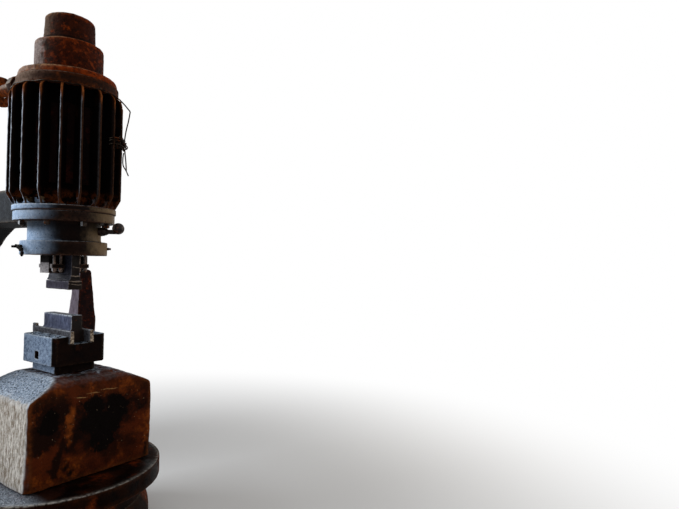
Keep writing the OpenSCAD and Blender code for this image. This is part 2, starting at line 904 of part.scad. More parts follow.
// Two steam ports from the barrel to the valve chest, in the gap between two ribs
module chest_ports() {
    port_w = 40;
    port_h = 60;
    end_in = 12;
    root = 20;
    color("saddlebrown")
    difference() {
        rotate([0, 0, chest_turn])
        for (z = [chest_base + end_in, chest_base + chest_h - port_h - end_in])
            translate([-port_w / 2, barrel_r - root, z]) cube([port_w, chest_y0 - barrel_r + root, port_h]);
        translate([0, 0, rib_z]) cylinder(h = rib_h, r = barrel_r, $fn = 128);
    }
}

// Valve chest with a round cover on top and a gland with its nut below
module valve_chest() {
    lid = [52, 18];
    gland = [40, 30];
    nut = [26, 22];
    color("saddlebrown")
    rotate([0, 0, chest_turn])
    translate([0, chest_y0 + chest_d / 2, chest_base])
    union() {
        translate([-chest_w / 2, -chest_d / 2, 0]) cube([chest_w, chest_d, chest_h]);
        translate([0, 0, chest_h]) cylinder(r = lid[0], h = lid[1]);
        translate([0, 0, -gland[1]]) cylinder(r = gland[0], h = gland[1]);
        translate([0, 0, -gland[1] - nut[1]]) cylinder(r = nut[0], h = nut[1], $fn = 6);
    }
}

// Bolted cover on one side of the chest
module chest_cover() {
    h = 78;
    drop = 22;
    d = chest_d - 34;
    bolt_in = 14;
    bolt_r = 5;
    color("lightsteelblue")
    rotate([0, 0, chest_turn])
    translate([0, chest_y0 + chest_d / 2, chest_base + chest_h - h / 2 - drop])
    difference() {
        translate([chest_w / 2, -d / 2, -h / 2]) cube([chest_cover_t, d, h]);
        for (y = [-1, 1], z = [-1, 1])
            translate([chest_w / 2 - 1, y * (d / 2 - bolt_in), z * (h / 2 - bolt_in)])
                rotate([0, 90, 0]) cylinder(h = chest_cover_t + 2, r = bolt_r);
    }
}

module chest_cover_right() { chest_cover(); }
module chest_cover_left() {
    rotate([0, 0, chest_turn]) mirror([1, 0, 0]) rotate([0, 0, -chest_turn]) chest_cover();
}

// Lug on the cover plate, and the link rod that runs from its pin to the chest's top
lug_size = [14, 30, 44];
lug_at = [-73, 155, drum_z];
pin_side = 13;
pin_r = 6;
module link_lug() {
    color("saddlebrown")
    translate(lug_at + [-lug_size.x, -lug_size.y / 2, 0]) cube(lug_size);
}

module valve_link() {
    r = 5;
    boss = [9, 12];
    low = [20 - chest_w / 2, chest_y0 + chest_d - 30, chest_base + chest_h + r];
    high = lug_at + [pin_side, 7, lug_size.z - 18];
    color("dimgray") {
        bar(low, high, r);
        translate(high - [pin_side, 0, 0]) rotate([0, 90, 0]) cylinder(h = pin_side + pin_r + 1, r = pin_r);
        translate(low - [0, 0, r]) cylinder(r = boss[0], h = boss[1]);
    }
}

// Steam pipe with a flat closed end at the cover drum
module steam_pipe() {
    end_t = 12;
    bore_y0 = drum_r + end_t;
    color("chocolate")
    difference() {
        translate([0, 0, pipe_axis_z]) rotate([-90, 0, 0]) cylinder(h = pipe_end, r = pipe_r);
        translate([0, bore_y0, pipe_axis_z]) rotate([-90, 0, 0]) cylinder(h = pipe_end - bore_y0 + 1, r = pipe_bore_r);
        translate([0, 0, drum_z - 1]) cylinder(h = drum_h, r = drum_r, $fn = 128);
        translate([-drum_r, -drum_r, drum_z - 1]) cube([2 * drum_r, drum_r, drum_h]);
    }
}

module pipe_union() {
    wall = 18;
    color("chocolate")
    translate([0, union_y, pipe_axis_z]) rotate([-90, 0, 0])
    difference() {
        cylinder(h = union_l, r = pipe_r + wall, $fn = 8);
        translate([0, 0, -1]) cylinder(h = union_l + 2, r = pipe_r);
    }
}

module pipe_flange() {
    t = 22;
    hole_in = 21;
    hole_r = 7;
    color("saddlebrown")
    translate([0, pipe_end - t, pipe_axis_z]) rotate([-90, 0, 0])
    difference() {
        cylinder(h = t, r = pipe_flange_r);
        translate([0, 0, -1]) cylinder(h = t + 2, r = pipe_r);
        for (a = [45:90:315])
            rotate([0, 0, a]) translate([pipe_flange_r - hole_in, 0, -1]) cylinder(h = t + 2, r = hole_r);
    }
}

// Ram: bar in the guides, and a hollow-sided flare down to the upper die
module ram() {
    half = ram_t / 2 + 2;
    wide = upper_die_w / 2 - 2;
    color("dimgray")
    slab_y(ram_l)
    polygon([
        [-wide, upper_die_top], [wide, upper_die_top],
        each [for (i = [1:5]) let (t = i / 6)
            [half + (wide - half) * pow(1 - t, 2), upper_die_top + ram_flare_h * t]],
        [half, ram_shoulder_z], [half, ram_shoulder_z + 1],
        [ram_t / 2, ram_shoulder_z + 1], [ram_t / 2, ram_top],
        [-ram_t / 2, ram_top], [-ram_t / 2, ram_shoulder_z + 1],
        [-half, ram_shoulder_z + 1], [-half, ram_shoulder_z],
        each [for (i = [5:-1:1]) let (t = i / 6)
            [-half - (wide - half) * pow(1 - t, 2), upper_die_top + ram_flare_h * t]],
    ]);
}

module upper_die() {
    half = upper_die_w / 2;
    edge = 3;
    color("lightslategray")
    slab_y(ram_l)
    polygon([
        [-half + edge, upper_die_z], [half - edge, upper_die_z], [half, upper_die_z + edge],
        [half, upper_die_top - edge], [half - 2, upper_die_top], [-half + 2, upper_die_top],
        [-half, upper_die_top - edge], [-half, upper_die_z + edge],
    ]);
}

module piston_rod() {
    color("silver")
    translate([0, 0, ram_top]) cylinder(h = piston_z - ram_top, r = rod_r);
}

module piston() {
    color("gray")
    translate([0, 0, piston_z]) cylinder(h = piston_h, r = bore_r - rod_clearance, $fn = 128);
}

pedestal();
base_disc();
anvil_block();
sow_block();
lower_die();
die_key_left();
die_key_right();
rear_post_left();
rear_post_right();
sole_plate();
frame_column();
frame_arm();
frame_bolts();
neck();
guide_flange();
guide_jaw_left();
guide_jaw_right();
guide_studs();
wing_bolt();
set_screws();
head_bolts();
drain_cock();
cock_ball();
ribbed_barrel();
barrel_pads();
top_ring();
cover_plate();
cover_drum();
buffer_cap();
binding_wire();
tie_clip();
chest_ports();
valve_chest();
chest_cover_left();
chest_cover_right();
valve_link();
link_lug();
steam_pipe();
pipe_union();
pipe_flange();
ram();
upper_die();
piston_rod();
piston();
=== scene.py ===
# Looks of the single-frame steam hammer: rusty castings, worn steel and dusty grey paint.
# Metres, +Z up, the origin on the hammer's axis at floor level, +Y towards the frame's column.
import math
from functools import partial

import bmesh
import bpy
from mathutils import Matrix, Vector, noise


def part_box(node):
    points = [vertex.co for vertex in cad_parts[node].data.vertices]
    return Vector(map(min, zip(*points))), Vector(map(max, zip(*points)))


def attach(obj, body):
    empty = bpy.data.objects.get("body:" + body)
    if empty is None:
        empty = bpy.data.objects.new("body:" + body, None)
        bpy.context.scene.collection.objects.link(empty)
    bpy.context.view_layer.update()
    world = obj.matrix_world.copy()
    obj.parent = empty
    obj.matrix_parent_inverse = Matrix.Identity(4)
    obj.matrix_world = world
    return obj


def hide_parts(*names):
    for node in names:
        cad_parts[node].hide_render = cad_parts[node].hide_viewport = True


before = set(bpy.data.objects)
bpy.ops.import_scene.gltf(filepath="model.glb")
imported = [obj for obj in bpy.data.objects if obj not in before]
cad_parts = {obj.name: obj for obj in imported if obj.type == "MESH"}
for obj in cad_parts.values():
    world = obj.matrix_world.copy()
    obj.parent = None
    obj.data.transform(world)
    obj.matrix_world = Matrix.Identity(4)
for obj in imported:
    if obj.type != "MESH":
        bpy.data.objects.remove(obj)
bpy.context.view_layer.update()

# The camera stands where the photographer stood
viewpoint = {
    "place": (-1.219, -2.352, 1.200),
    "heading": 35.1,  # degrees from +X towards +Y
    "pitch": 1.0,
    "roll": 1.018,
    "lens": 28,
    "sensor": 36,
    "farthest": 60,
}


def newObject(name, data):
    made = bpy.data.objects.new(name, data)
    bpy.context.scene.collection.objects.link(made)
    return made


def placeCamera():
    heading = math.radians(viewpoint["heading"])
    pitch = math.radians(viewpoint["pitch"])
    flat = math.cos(pitch)
    forward = Vector((math.cos(heading) * flat, math.sin(heading) * flat, math.sin(pitch)))
    right = Vector((math.sin(heading), -math.cos(heading), 0))
    up = right.cross(forward)
    turn = Matrix((right, up, -forward)).transposed().to_4x4()
    turn = turn @ Matrix.Rotation(math.radians(viewpoint["roll"]), 4, "Z")
    data = bpy.data.cameras.new("photographer")
    data.lens = viewpoint["lens"]
    data.sensor_width = viewpoint["sensor"]
    data.clip_end = viewpoint["farthest"]
    camera = newObject("photographer", data)
    camera.matrix_world = Matrix.Translation(viewpoint["place"]) @ turn
    bpy.context.scene.camera = camera


placeCamera()
print("camera placed")


# Node helpers for the finishes. A tone is a hex colour or a socket

def hexColor(text):
    parts = [int(text[i:i + 2], 16) / 255 for i in (0, 2, 4)]
    linear = [p / 12.92 if p <= 0.04045 else ((p + 0.055) / 1.055) ** 2.4 for p in parts]
    return (*linear, 1.0)


def addNode(tree, kind, values=None, **settings):
    made = tree.nodes.new("ShaderNode" + kind)
    for key, value in settings.items():
        setattr(made, key, value)
    for socket, value in (values or {}).items():
        if isinstance(value, bpy.types.NodeSocket):
            tree.links.new(value, made.inputs[socket])
        else:
            made.inputs[socket].default_value = value
    return made


def objectPlace(tree):
    return addNode(tree, "TexCoord").outputs["Object"]


def objectAxis(tree, axis):
    return addNode(tree, "SeparateXYZ", {0: objectPlace(tree)}).outputs[axis]


def vectorMath(tree, kind, *values):
    made = addNode(tree, "VectorMath", dict(enumerate(values)), operation=kind)
    return made.outputs["Value" if kind in ("LENGTH", "DOT_PRODUCT") else "Vector"]


def facing(tree, direction):
    return vectorMath(tree, "DOT_PRODUCT", addNode(tree, "NewGeometry").outputs["Normal"], direction)


def mottle(tree, scale, detail=5, rough=0.6, stretch=(1, 1, 1), shift=(0, 0, 0)):
    placed = addNode(tree, "Mapping", {"Vector": objectPlace(tree), "Location": shift, "Scale": stretch})
    values = {"Vector": placed.outputs[0], "Scale": scale, "Detail": detail, "Roughness": rough}
    return addNode(tree, "TexNoise", values).outputs["Fac"]


def between(tree, value, low, high):
    # Rises smoothly from 0 at low to 1 at high
    values = {"Value": value, "From Min": low, "From Max": high}
    return addNode(tree, "MapRange", values, interpolation_type="SMOOTHSTEP").outputs["Result"]


def spread(tree, value, first, last):
    # Runs evenly from first at 0 to last at 1
    return addNode(tree, "MapRange", {"Value": value, "To Min": first, "To Max": last}).outputs["Result"]


def patches(tree, scale, low, high, **pattern):
    return between(tree, mottle(tree, scale, **pattern), low, high)


def maths(tree, kind, first, second):
    return addNode(tree, "Math", {0: first, 1: second}, operation=kind).outputs[0]


def product(tree, mask, *others):
    for other in others:
        mask = addNode(tree, "Math", {0: mask, 1: other}, operation="MULTIPLY", use_clamp=True).outputs[0]
    return mask


def mixed(tree, mask, under, over):
    tones = [hexColor(tone) if isinstance(tone, str) else tone for tone in (under, over)]
    return addNode(tree, "Mix", {0: mask, 6: tones[0], 7: tones[1]}, data_type="RGBA").outputs[2]


def raggedSide(tree, direction, edge, ramp, ragged, pattern):
    # The faces that look one way, with a border that a pattern breaks up
    broken = spread(tree, pattern, -ragged, ragged)
    return between(tree, maths(tree, "ADD", facing(tree, direction), broken), edge, edge + ramp)


windowSide = (-0.86, 0.42, 0.3)
lampSide = (-0.6, 0.35, 0.72)
roomSide = (0.85, -0.5, 0.1)


# Layers of a finish. Each takes the values of its entry in the look, and gives its mask and its tone

def rustLayer(tree, low, high, scale, edge):
    shade = patches(tree, 55, 0.35, 0.68, detail=4, rough=0.7, shift=(9, 4, 2))
    mask = patches(tree, scale, edge, edge + 0.12, detail=6, rough=0.62, shift=(5, 2, 8))
    return mask, mixed(tree, shade, low, high)


def footRustLayer(tree, tone, low, high):
    broken = patches(tree, 26, 0.42, 0.6, rough=0.7, shift=(2, 8, 8))
    mask = product(tree, broken, between(tree, objectAxis(tree, 2), high, low))
    return mask, tone


def spotsLayer(tree, tone, scale, edge, ramp, **pattern):
    return patches(tree, scale, edge, edge + ramp, **pattern), tone


def ovalsLayer(tree, tone, places, soft=0.35, wobble=1.1, scale=24, bend=0.12, strength=1.0):
    # Ragged ovals on the faces that look to the front: x, z, half width, half height and turn of each
    through = 1000  # so long from front to back that only x and z count
    wavy = addNode(tree, "TexNoise", {"Vector": objectPlace(tree), "Scale": 7, "Detail": 3})
    offset = vectorMath(tree, "SUBTRACT", wavy.outputs["Color"], (0.5, 0.5, 0.5))
    coords = vectorMath(tree, "MULTIPLY_ADD", offset, (bend, bend, bend), objectPlace(tree))
    nearest = None
    for x, z, width, height, turn in places:
        values = {"Vector": coords, "Location": (x, 0, z), "Rotation": (0, turn, 0),
                  "Scale": (width, through, height)}
        reach = vectorMath(tree, "LENGTH", addNode(tree, "Mapping", values, vector_type="TEXTURE").outputs[0])
        nearest = maths(tree, "MINIMUM", nearest, reach) if nearest else reach
    ragged = spread(tree, mottle(tree, scale, 6, 0.7, shift=(3, 3, 6)), -wobble, wobble)
    inside = between(tree, maths(tree, "ADD", nearest, ragged), 1 + soft, 1 - soft)
    front = between(tree, facing(tree, (0, -1, 0.2)), 0.3, 0.55)
    return product(tree, inside, front, strength), tone


def facedLayer(tree, tones, direction, edge):
    blotch = patches(tree, 120, 0.38, 0.62, detail=4, rough=0.75, shift=(4, 1, 1))
    mask = between(tree, facing(tree, direction), edge, edge + 0.15)
    return mask, mixed(tree, blotch, *tones)


def paintedWindowLightLayer(tree, tones, edge, ragged, ramp=0.34, stretch=1, stain=None):
    # Painted window light: the side towards the window drawn lighter, in mottled tones with stains where a
    # look gives them
    mask = raggedSide(tree, windowSide, edge, ramp, ragged, mottle(tree, 26, 6, 0.7, shift=(2, 2, 5)))
    tall = (1, 1, stretch)
    tone = mixed(tree, patches(tree, 90, 0.38, 0.62, rough=0.8, stretch=tall, shift=(4, 6, 1)), *tones)
    if stain:
        stains = patches(tree, 15, 0.48, 0.72, detail=8, rough=0.8, stretch=tall, shift=(1, 6, 6))
        tone = mixed(tree, stains, tone, stain)
    return mask, tone


def paintedRoomLightLayer(tree, tone, edge):
    # Painted warm room light on the side towards the room
    mask = raggedSide(tree, roomSide, edge, 0.5, 0.3, mottle(tree, 30, 5, 0.7, shift=(7, 2, 1)))
    return mask, tone


def streaksLayer(tree, tone, scale, edge):
    runs = patches(tree, scale, edge, edge + 0.14, rough=0.7, stretch=(1, 1, 0.12), shift=(6, 3, 2))
    upright = between(tree, facing(tree, (0, 0, 1)), 0.5, 0.2)
    return product(tree, runs, upright), tone


def dustAndTopLightLayer(tree, tone, direction, edge, grit=190, side=None):
    # Dust on the faces that look up, drawn pale and bluish with bright grains, so it is painted light and
    # glints on the tops as well; side keeps it to the window end
    grains = mottle(tree, grit, 3, 0.85, shift=(6, 2, 2))
    dust = mixed(tree, between(tree, grains, 0.49, 0.40), tone, "1b1c20")
    dust = mixed(tree, between(tree, grains, 0.57, 0.65), dust, "eef3f8")
    mask = raggedSide(tree, direction, edge, 0.16, 0.3, mottle(tree, 30, 6, 0.75, shift=(8, 5, 5)))
    if side:
        mask = product(tree, mask, between(tree, objectAxis(tree, 0), *side))
    return mask, dust


def wearAndHighlightLayer(tree, shade, lit, gain, kept=0.1, top=None, right=None):
    # Edges rubbed bare where the mesh's attribute marks them, drawn as a painted highlight: lit tone towards
    # the lamp, shade tone elsewhere
    # right turns the lit tone warm towards +X as painted room light; top is rust on the upper ends
    if right:
        lit = mixed(tree, between(tree, objectAxis(tree, 0), -0.12, 0.1), lit, right)
    tone = mixed(tree, between(tree, facing(tree, lampSide), 0.1, 0.7), shade, lit)
    if top:
        topTone, height = top
        above = between(tree, objectAxis(tree, 2), height - 0.03, height + 0.02)
        tone = mixed(tree, above, tone, topTone)
    edges = addNode(tree, "Attribute", attribute_name="wear").outputs["Fac"]
    broken = spread(tree, patches(tree, 70, 0.36, 0.62, rough=0.7, shift=(1, 1, 9)), kept, 1.0)
    return product(tree, edges, broken, gain), tone


def paintedShadowLayer(tree, tone, low, full, high):
    # Painted shadow below an overhanging rim: from low to full it grows, and at high it ends
    height = objectAxis(tree, 2)
    mask = product(tree, between(tree, height, low, full), between(tree, height, high + 0.001, high), 0.8)
    return mask, tone


def paintedShadeTopLayer(tree, tone, height):
    # Painted shade: the piece drawn dark above the height
    return between(tree, objectAxis(tree, 2), height - 0.003, height + 0.003), tone


finishLayers = {
    "rust": rustLayer, "footRust": footRustLayer,
    "oil": partial(spotsLayer, ramp=0.1, rough=0.55, shift=(1, 7, 3)),
    "runs": partial(ovalsLayer, soft=0.4, scale=30, strength=0.75),
    "soaked": partial(ovalsLayer, wobble=1.4),
    "blots": partial(ovalsLayer, soft=0.14),
    "faced": facedLayer, "pale": paintedWindowLightLayer, "warm": paintedRoomLightLayer, "streaks": streaksLayer, "dust": dustAndTopLightLayer,
    # Scratch lines, placed also as painted highlights along ridges and steps
    "wear": wearAndHighlightLayer, "scratchesAndHighlights": partial(ovalsLayer, wobble=1.7, scale=150, bend=0.04, strength=0.75),
    "paintedShadow": paintedShadowLayer,
    "specks": partial(spotsLayer, ramp=0.05, detail=2, rough=0.5, shift=(2, 9, 4)),
    "darkTop": paintedShadeTopLayer,
}


def ironFinish(name, look):
    # A mottled ground, then each layer that the look names, uneven gloss and pits
    material = bpy.data.materials.new(name)
    material.use_nodes = True
    tree = material.node_tree
    shader = tree.nodes["Principled BSDF"]
    shader.inputs["Roughness"].default_value = look.get("roughness", 0.8)
    shader.inputs["Specular IOR Level"].default_value = look.get("specular", 0.06)
    shader.inputs["Metallic"].default_value = look.get("metallic", 0)
    color = mixed(tree, patches(tree, look["mottle"], 0.35, 0.65), look["deep"], look["base"])
    fine = patches(tree, look.get("grain", 160), 0.5, 0.75, detail=3, rough=0.7, shift=(3, 1, 7))
    color = mixed(tree, product(tree, fine, 0.55), color, look["deep"])
    for title, layer in finishLayers.items():
        if title in look:
            mask, tone = layer(tree, *look[title], **look.get(title + "More", {}))
            color = mixed(tree, mask, color, tone)
    tree.links.new(color, shader.inputs["Base Color"])
    if "gloss" in look:
        low, high, scale = look["gloss"]
        sheen = spread(tree, patches(tree, scale, 0.4, 0.6, detail=4, shift=(1, 7, 3)), high, low)
        tree.links.new(sheen, shader.inputs["Roughness"])
    pits = mottle(tree, look.get("pit", 130), 6, 0.72, shift=(4, 4, 4))
    bump = addNode(tree, "Bump", {"Height": pits, "Distance": look["bump"], "Strength": 0.8})
    tree.links.new(bump.outputs[0], shader.inputs["Normal"])
    return material


# Lighter tones on the side towards the window, in every look, are painted window light
finishLooks = {
    "anvilRust": {
        "deep": "240d05", "base": "4f1f0b", "mottle": 9, "rust": ("4c1c09", "7d3c12", 8, 0.50),
        "oil": ("100604", 6, 0.56),
        "runs": ("8c4518", [(-0.092, 0.565, 0.022, 0.055, 0.15), (-0.095, 0.490, 0.020, 0.040, -0.2)]),
        "soaked": ("1a0a05", [
            (-0.176, 0.560, 0.058, 0.105, 0.0), (-0.140, 0.600, 0.050, 0.060, 0.3),
            (-0.190, 0.490, 0.050, 0.050, 0.0), (-0.132, 0.400, 0.016, 0.085, 0.05),
            (0.060, 0.520, 0.150, 0.105, -0.25), (0.300, 0.345, 0.030, 0.060, 0.0),
        ]),
        "blots": ("070302", [
            (0.022, 0.588, 0.038, 0.046, 0.2), (0.118, 0.562, 0.046, 0.056, -0.2),
            (0.026, 0.515, 0.074, 0.050, 0.1), (0.056, 0.446, 0.054, 0.058, 0.3),
            (0.096, 0.496, 0.046, 0.040, -0.4), (-0.165, 0.575, 0.030, 0.050, 0.1),
        ]),
        "pale": (("857868", "e2dcd4"), 0.42, 0.2), "paleMore": {"stretch": 0.35, "stain": "63492f"},
        # The top's dust is also painted light there
        "dust": ("a2b1c4", (-0.5, 0.12, 0.86), 0.80), "dustMore": {"grit": 130},
        "wear": ("6b3a1c", "d3d9e0", 1.5), "wearMore": {"kept": 0.3},
        # The bright lines along the front's top ridge are scratches and painted highlight in one
        "scratchesAndHighlights": ("a07a4e", [
            (-0.035, 0.634, 0.026, 0.0020, 0.18), (0.025, 0.640, 0.028, 0.0018, 0.12),
            (0.095, 0.643, 0.032, 0.0016, 0.05),
        ]),
        "specks": ("b9a080", 150, 0.73), "specular": 0.03, "bump": 0.007,
    },
    "pedestalRust": {
        "deep": "120906", "base": "2c160b", "mottle": 10, "rust": ("3c1a0c", "713412", 9, 0.5),
        "oil": ("070403", 6, 0.5), "pale": (("6d6862", "8a857c"), 0.6, 0.35),
        "wear": ("3a2413", "9a8a78", 1), "bump": 0.006,
    },
    "castRust": {
        "deep": "1c0d07", "base": "3b1d0e", "mottle": 12, "rust": ("4b220e", "8c4216", 10, 0.48),
        "oil": ("0d0806", 8, 0.57), "pale": (("77726d", "979089"), 0.66, 0.35),
        "dust": ("8b8a86", (0, 0, 1), 1.0), "wear": ("5a3218", "b08a62", 1.2), "bump": 0.005,
    },
    "ringRust": {
        "deep": "120905", "base": "2b150b", "mottle": 12, "rust": ("3a1c0d", "6e3413", 11, 0.55),
        "oil": ("080504", 9, 0.56), "pale": (("4f3b2f", "6f5a4b"), 0.50, 0.35),
        "wear": ("6e3413", "b09584", 1.3), "specks": ("cfc8bc", 70, 0.76), "bump": 0.005,
    },
    "oilyDisc": {
        "deep": "060201", "base": "1c0a04", "mottle": 11, "rust": ("341305", "662808", 9, 0.52),
        "oil": ("040202", 7, 0.53), "pale": (("4a4644", "6b6865"), 0.9, 0.2),
        # Dust only at the window end, standing as painted window light too
        "dust": ("838b96", (0, 0, 1), 0.8), "dustMore": {"side": (-0.20, -0.30)},
        "wear": ("3a1d0d", "b9b3ab", 1.6), "gloss": (0.35, 0.75, 7), "specular": 0.02, "bump": 0.003,
    },
    "forgeScale": {
        "deep": "080404", "base": "140906", "mottle": 16, "rust": ("1e0c07", "36180b", 14, 0.55),
        "pale": (("56657b", "92a3ba"), 0.42, 0.12), "dust": ("8c9cb0", (-0.25, 0.05, 0.95), 0.78),
        "wear": ("33241a", "c3ced9", 1.3), "specks": ("1a1716", 170, 0.66), "specular": 0.03, "bump": 0.003,
        "pit": 200,
    },
    "dieSteel": {
        "deep": "0c0605", "base": "190c09", "mottle": 20, "rust": ("24100a", "44200d", 24, 0.58),
        "pale": (("373c52", "626a86"), 0.45, 0.12), "paleMore": {"stretch": 0.3, "stain": "2a2730"},
        "dust": ("7a8798", (0, 0, 1), 0.95), "wear": ("4a3d36", "d3dbe4", 1.5), "roughness": 0.55,
        "specular": 0.1, "bump": 0.0025, "pit": 220,
    },
    "upperSteel": {
        "deep": "0b0706", "base": "170e0b", "mottle": 20, "rust": ("221009", "40200e", 24, 0.6),
        "pale": (("231f2b", "3a3645"), 0.45, 0.12), "paleMore": {"stretch": 0.4, "stain": "161114"},
        "wear": ("4a3a31", "9b9aa6", 1.1),
        # The bright lines at the die's steps are painted step highlights as well as scratches
        "scratchesAndHighlights": ("8f7f72", [(0.0, 1.104, 0.040, 0.0022, 0.0), (0.0, 1.089, 0.036, 0.0012, 0.03)]),
        "roughness": 0.55, "bump": 0.002, "pit": 220,
    },
    "keySteel": {
        "deep": "170d0b", "base": "2c1a13", "mottle": 26, "rust": ("2e160c", "643316", 30, 0.56),
        "faced": (("3a2a20", "c4b29c"), (0, -1, 0.1), 0.8), "pale": (("2c2a2e", "5e5f66"), 0.45, 0.3),
        "dust": ("9aa4b1", (0, 0, 1), 0.95), "wear": ("6a5442", "cfd4dc", 0.9), "wearMore": {"kept": 0.2},
        "roughness": 0.5, "bump": 0.002, "pit": 260,
    },
    "postRust": {
        "deep": "110709", "base": "27100d", "mottle": 30, "rust": ("35140c", "6b2a12", 48, 0.54),
        "oil": ("0a0504", 12, 0.58), "pale": (("5c5259", "7f7480"), 0.46, 0.2),
        "paleMore": {"stretch": 0.3}, "wear": ("4a2214", "9b8f96", 1.1), "bump": 0.005,
    },
    "framePaint": {
        "deep": "08080a", "base": "131416", "mottle": 8, "rust": ("2c150b", "55290f", 6, 0.62),
        "oil": ("050506", 5, 0.56), "pale": (("202328", "33373d"), 0.62, 0.3),
        "streaks": ("2c1a10", 16, 0.62), "dust": ("54534f", (0, 0, 1), 0.92),
        "wear": ("38291f", "7d7468", 1.2), "roughness": 0.65, "bump": 0.003, "pit": 90,
    },
    "boltSteel": {
        "deep": "1b120e", "base": "3d332c", "mottle": 60, "rust": ("4a2411", "854419", 45, 0.5),
        "pale": (("8b8e93", "b5b8bd"), 0.5, 0.2), "wear": ("6a5a4c", "cfd2d6", 1.5), "metallic": 0.2,
        "roughness": 0.5, "bump": 0.0015, "pit": 300,
    },
    "studSteel": {
        "deep": "3d2a20", "base": "7f6e63", "mottle": 70, "rust": ("5f2c14", "94501f", 50, 0.54),
        "pale": (("8d8a8b", "bdbcbf"), 0.45, 0.2), "metallic": 0.2, "roughness": 0.4, "specular": 0.3,
        "bump": 0.001, "pit": 300,
    },
    "jawIron": {
        "deep": "0d0807", "base": "1c120e", "mottle": 30, "rust": ("2a140b", "4c2510", 26, 0.56),
        "pale": (("6f6b6d", "a29d9d"), 0.45, 0.3), "wear": ("54402f", "c9c5c2", 1.2),
        # The jaws' dark tops are painted shade
        "darkTop": ("0a0706", 1.183), "bump": 0.002, "pit": 200,
    },
    # Grey paint drawn near black as in shade, with painted window light, painted room light and a painted
    # shadow over it
    "greyPaint": {
        "deep": "050201", "base": "0f0503", "mottle": 12, "rust": ("1a0a05", "30150b", 12, 0.58),
        "oil": ("040202", 7, 0.55), "pale": (("8ea9ca", "b8ceea"), 0.12, 0.09), "paleMore": {"ramp": 0.85},
        # The brown tone towards the room is painted warm room light
        "warm": ("6d5a42", 0.42), "wear": ("4a3226", "cdd6df", 1.2),
        # The dark band on the neck under the head ring is a painted shadow
        "paintedShadow": ("0a0504", 1.300, 1.342, 1.3585), "specks": ("120a08", 110, 0.68),
        "gloss": (0.4, 0.65, 7), "specular": 0.04, "bump": 0.002, "pit": 170,
    },
    "handleIron": {
        "deep": "040303", "base": "0d0908", "mottle": 40, "rust": ("150b08", "2c170e", 40, 0.6),
        "wear": ("1c1310", "5a544e", 0.8), "bump": 0.001, "pit": 260,
    },
    "cockMetal": {
        "deep": "0c0605", "base": "221209", "mottle": 40, "rust": ("341a10", "5d3018", 40, 0.56),
        "pale": (("4f4238", "74675b"), 0.6, 0.2), "wear": ("5a3c26", "a08c78", 1.2),
        "gloss": (0.3, 0.6, 30), "specular": 0.2, "bump": 0.001, "pit": 260,
    },
    "barrelIron": {
        "deep": "020101", "base": "060303", "mottle": 12, "rust": ("0d0503", "1c0b05", 8, 0.58),
        "footRust": ("5a2c12", 1.455, 1.50), "wear": ("3c261b", "cdd6e4", 1.1),
        # The warm right tone on the ribs is painted room light
        "wearMore": {"kept": 0.55, "top": ("96552c", 1.880), "right": "a08d88"},
        "specular": 0.02, "bump": 0.003,
    },
    "padRed": {
        "deep": "070202", "base": "120403", "mottle": 20, "rust": ("1a0704", "2a0d07", 20, 0.55),
        "specular": 0.03, "bump": 0.003,
    },
    "coverRust": {
        "deep": "120503", "base": "361104", "mottle": 30, "grain": 80,
        "rust": ("4a1807", "7c330e", 42, 0.50), "oil": ("0c0503", 22, 0.54),
        "pale": (("695b57", "9c8f8a"), 0.56, 0.45), "paleMore": {"stretch": 1.2},
        "dust": ("7d6656", (0, 0, 1), 1.05), "wear": ("a8420a", "b98c66", 1.5), "bump": 0.006,
    },
    "wireSteel": {
        "deep": "0f0a07", "base": "241a13", "mottle": 60, "rust": ("351a0c", "5c2d12", 50, 0.5),
        "pale": (("4c443c", "80766c"), 0.35, 0.2), "metallic": 0.1, "roughness": 0.6, "specular": 0.03,
        "bump": 0.001, "pit": 300,
    },
    "ramSteel": {
        "deep": "060303", "base": "120a07", "mottle": 24, "rust": ("200e07", "3c1c0b", 22, 0.58),
        "pale": (("1a1a22", "32333f"), 0.5, 0.15), "wear": ("3a2e28", "a5a4aa", 0.9),
        "wearMore": {"kept": 0.2},
        # The bright lines at the shank's steps are painted step highlights as well as scratches
        "scratchesAndHighlights": ("8f7f72", [(0.0, 1.164, 0.034, 0.0012, 0.0), (0.0, 1.126, 0.036, 0.0024, 0.0)]),
        "gloss": (0.35, 0.65, 12), "specular": 0.08, "bump": 0.002, "pit": 220,
    },
    "rodSteel": {
        "deep": "6b6c6e", "base": "9a9b9d", "mottle": 30, "metallic": 0.9, "roughness": 0.3,
        "specular": 0.5, "bump": 0.0004, "pit": 400,
    },
}
finishLooks["capRust"] = {
    **finishLooks["coverRust"], "base": "2a0e05", "rust": ("3c1407", "8a380c", 38, 0.54),
    # The dark band round the cap's foot is a painted shadow
    "pale": (("45342a", "5f4e42"), 0.6, 0.3), "paintedShadow": ("0a0403", 2.1, 2.101, 2.163),
}
finishes = {title: ironFinish(title, look) for title, look in finishLooks.items()}
print("finishes made:", len(finishes))


# Modelling helpers

def arcPoints(cx, cy, radius, first, last, count):
    angles = [math.radians(first + (last - first) * i / count) for i in range(count + 1)]
    return [(cx + radius * math.cos(a), cy + radius * math.sin(a)) for a in angles]


def filledIn(points, step):
    made = [points[0]]
    for a, b in zip(points, points[1:]):
        count = max(1, int(math.dist(a, b) / step))
        made += [tuple(p + (q - p) * i / count for p, q in zip(a, b)) for i in range(1, count + 1)]
    return made


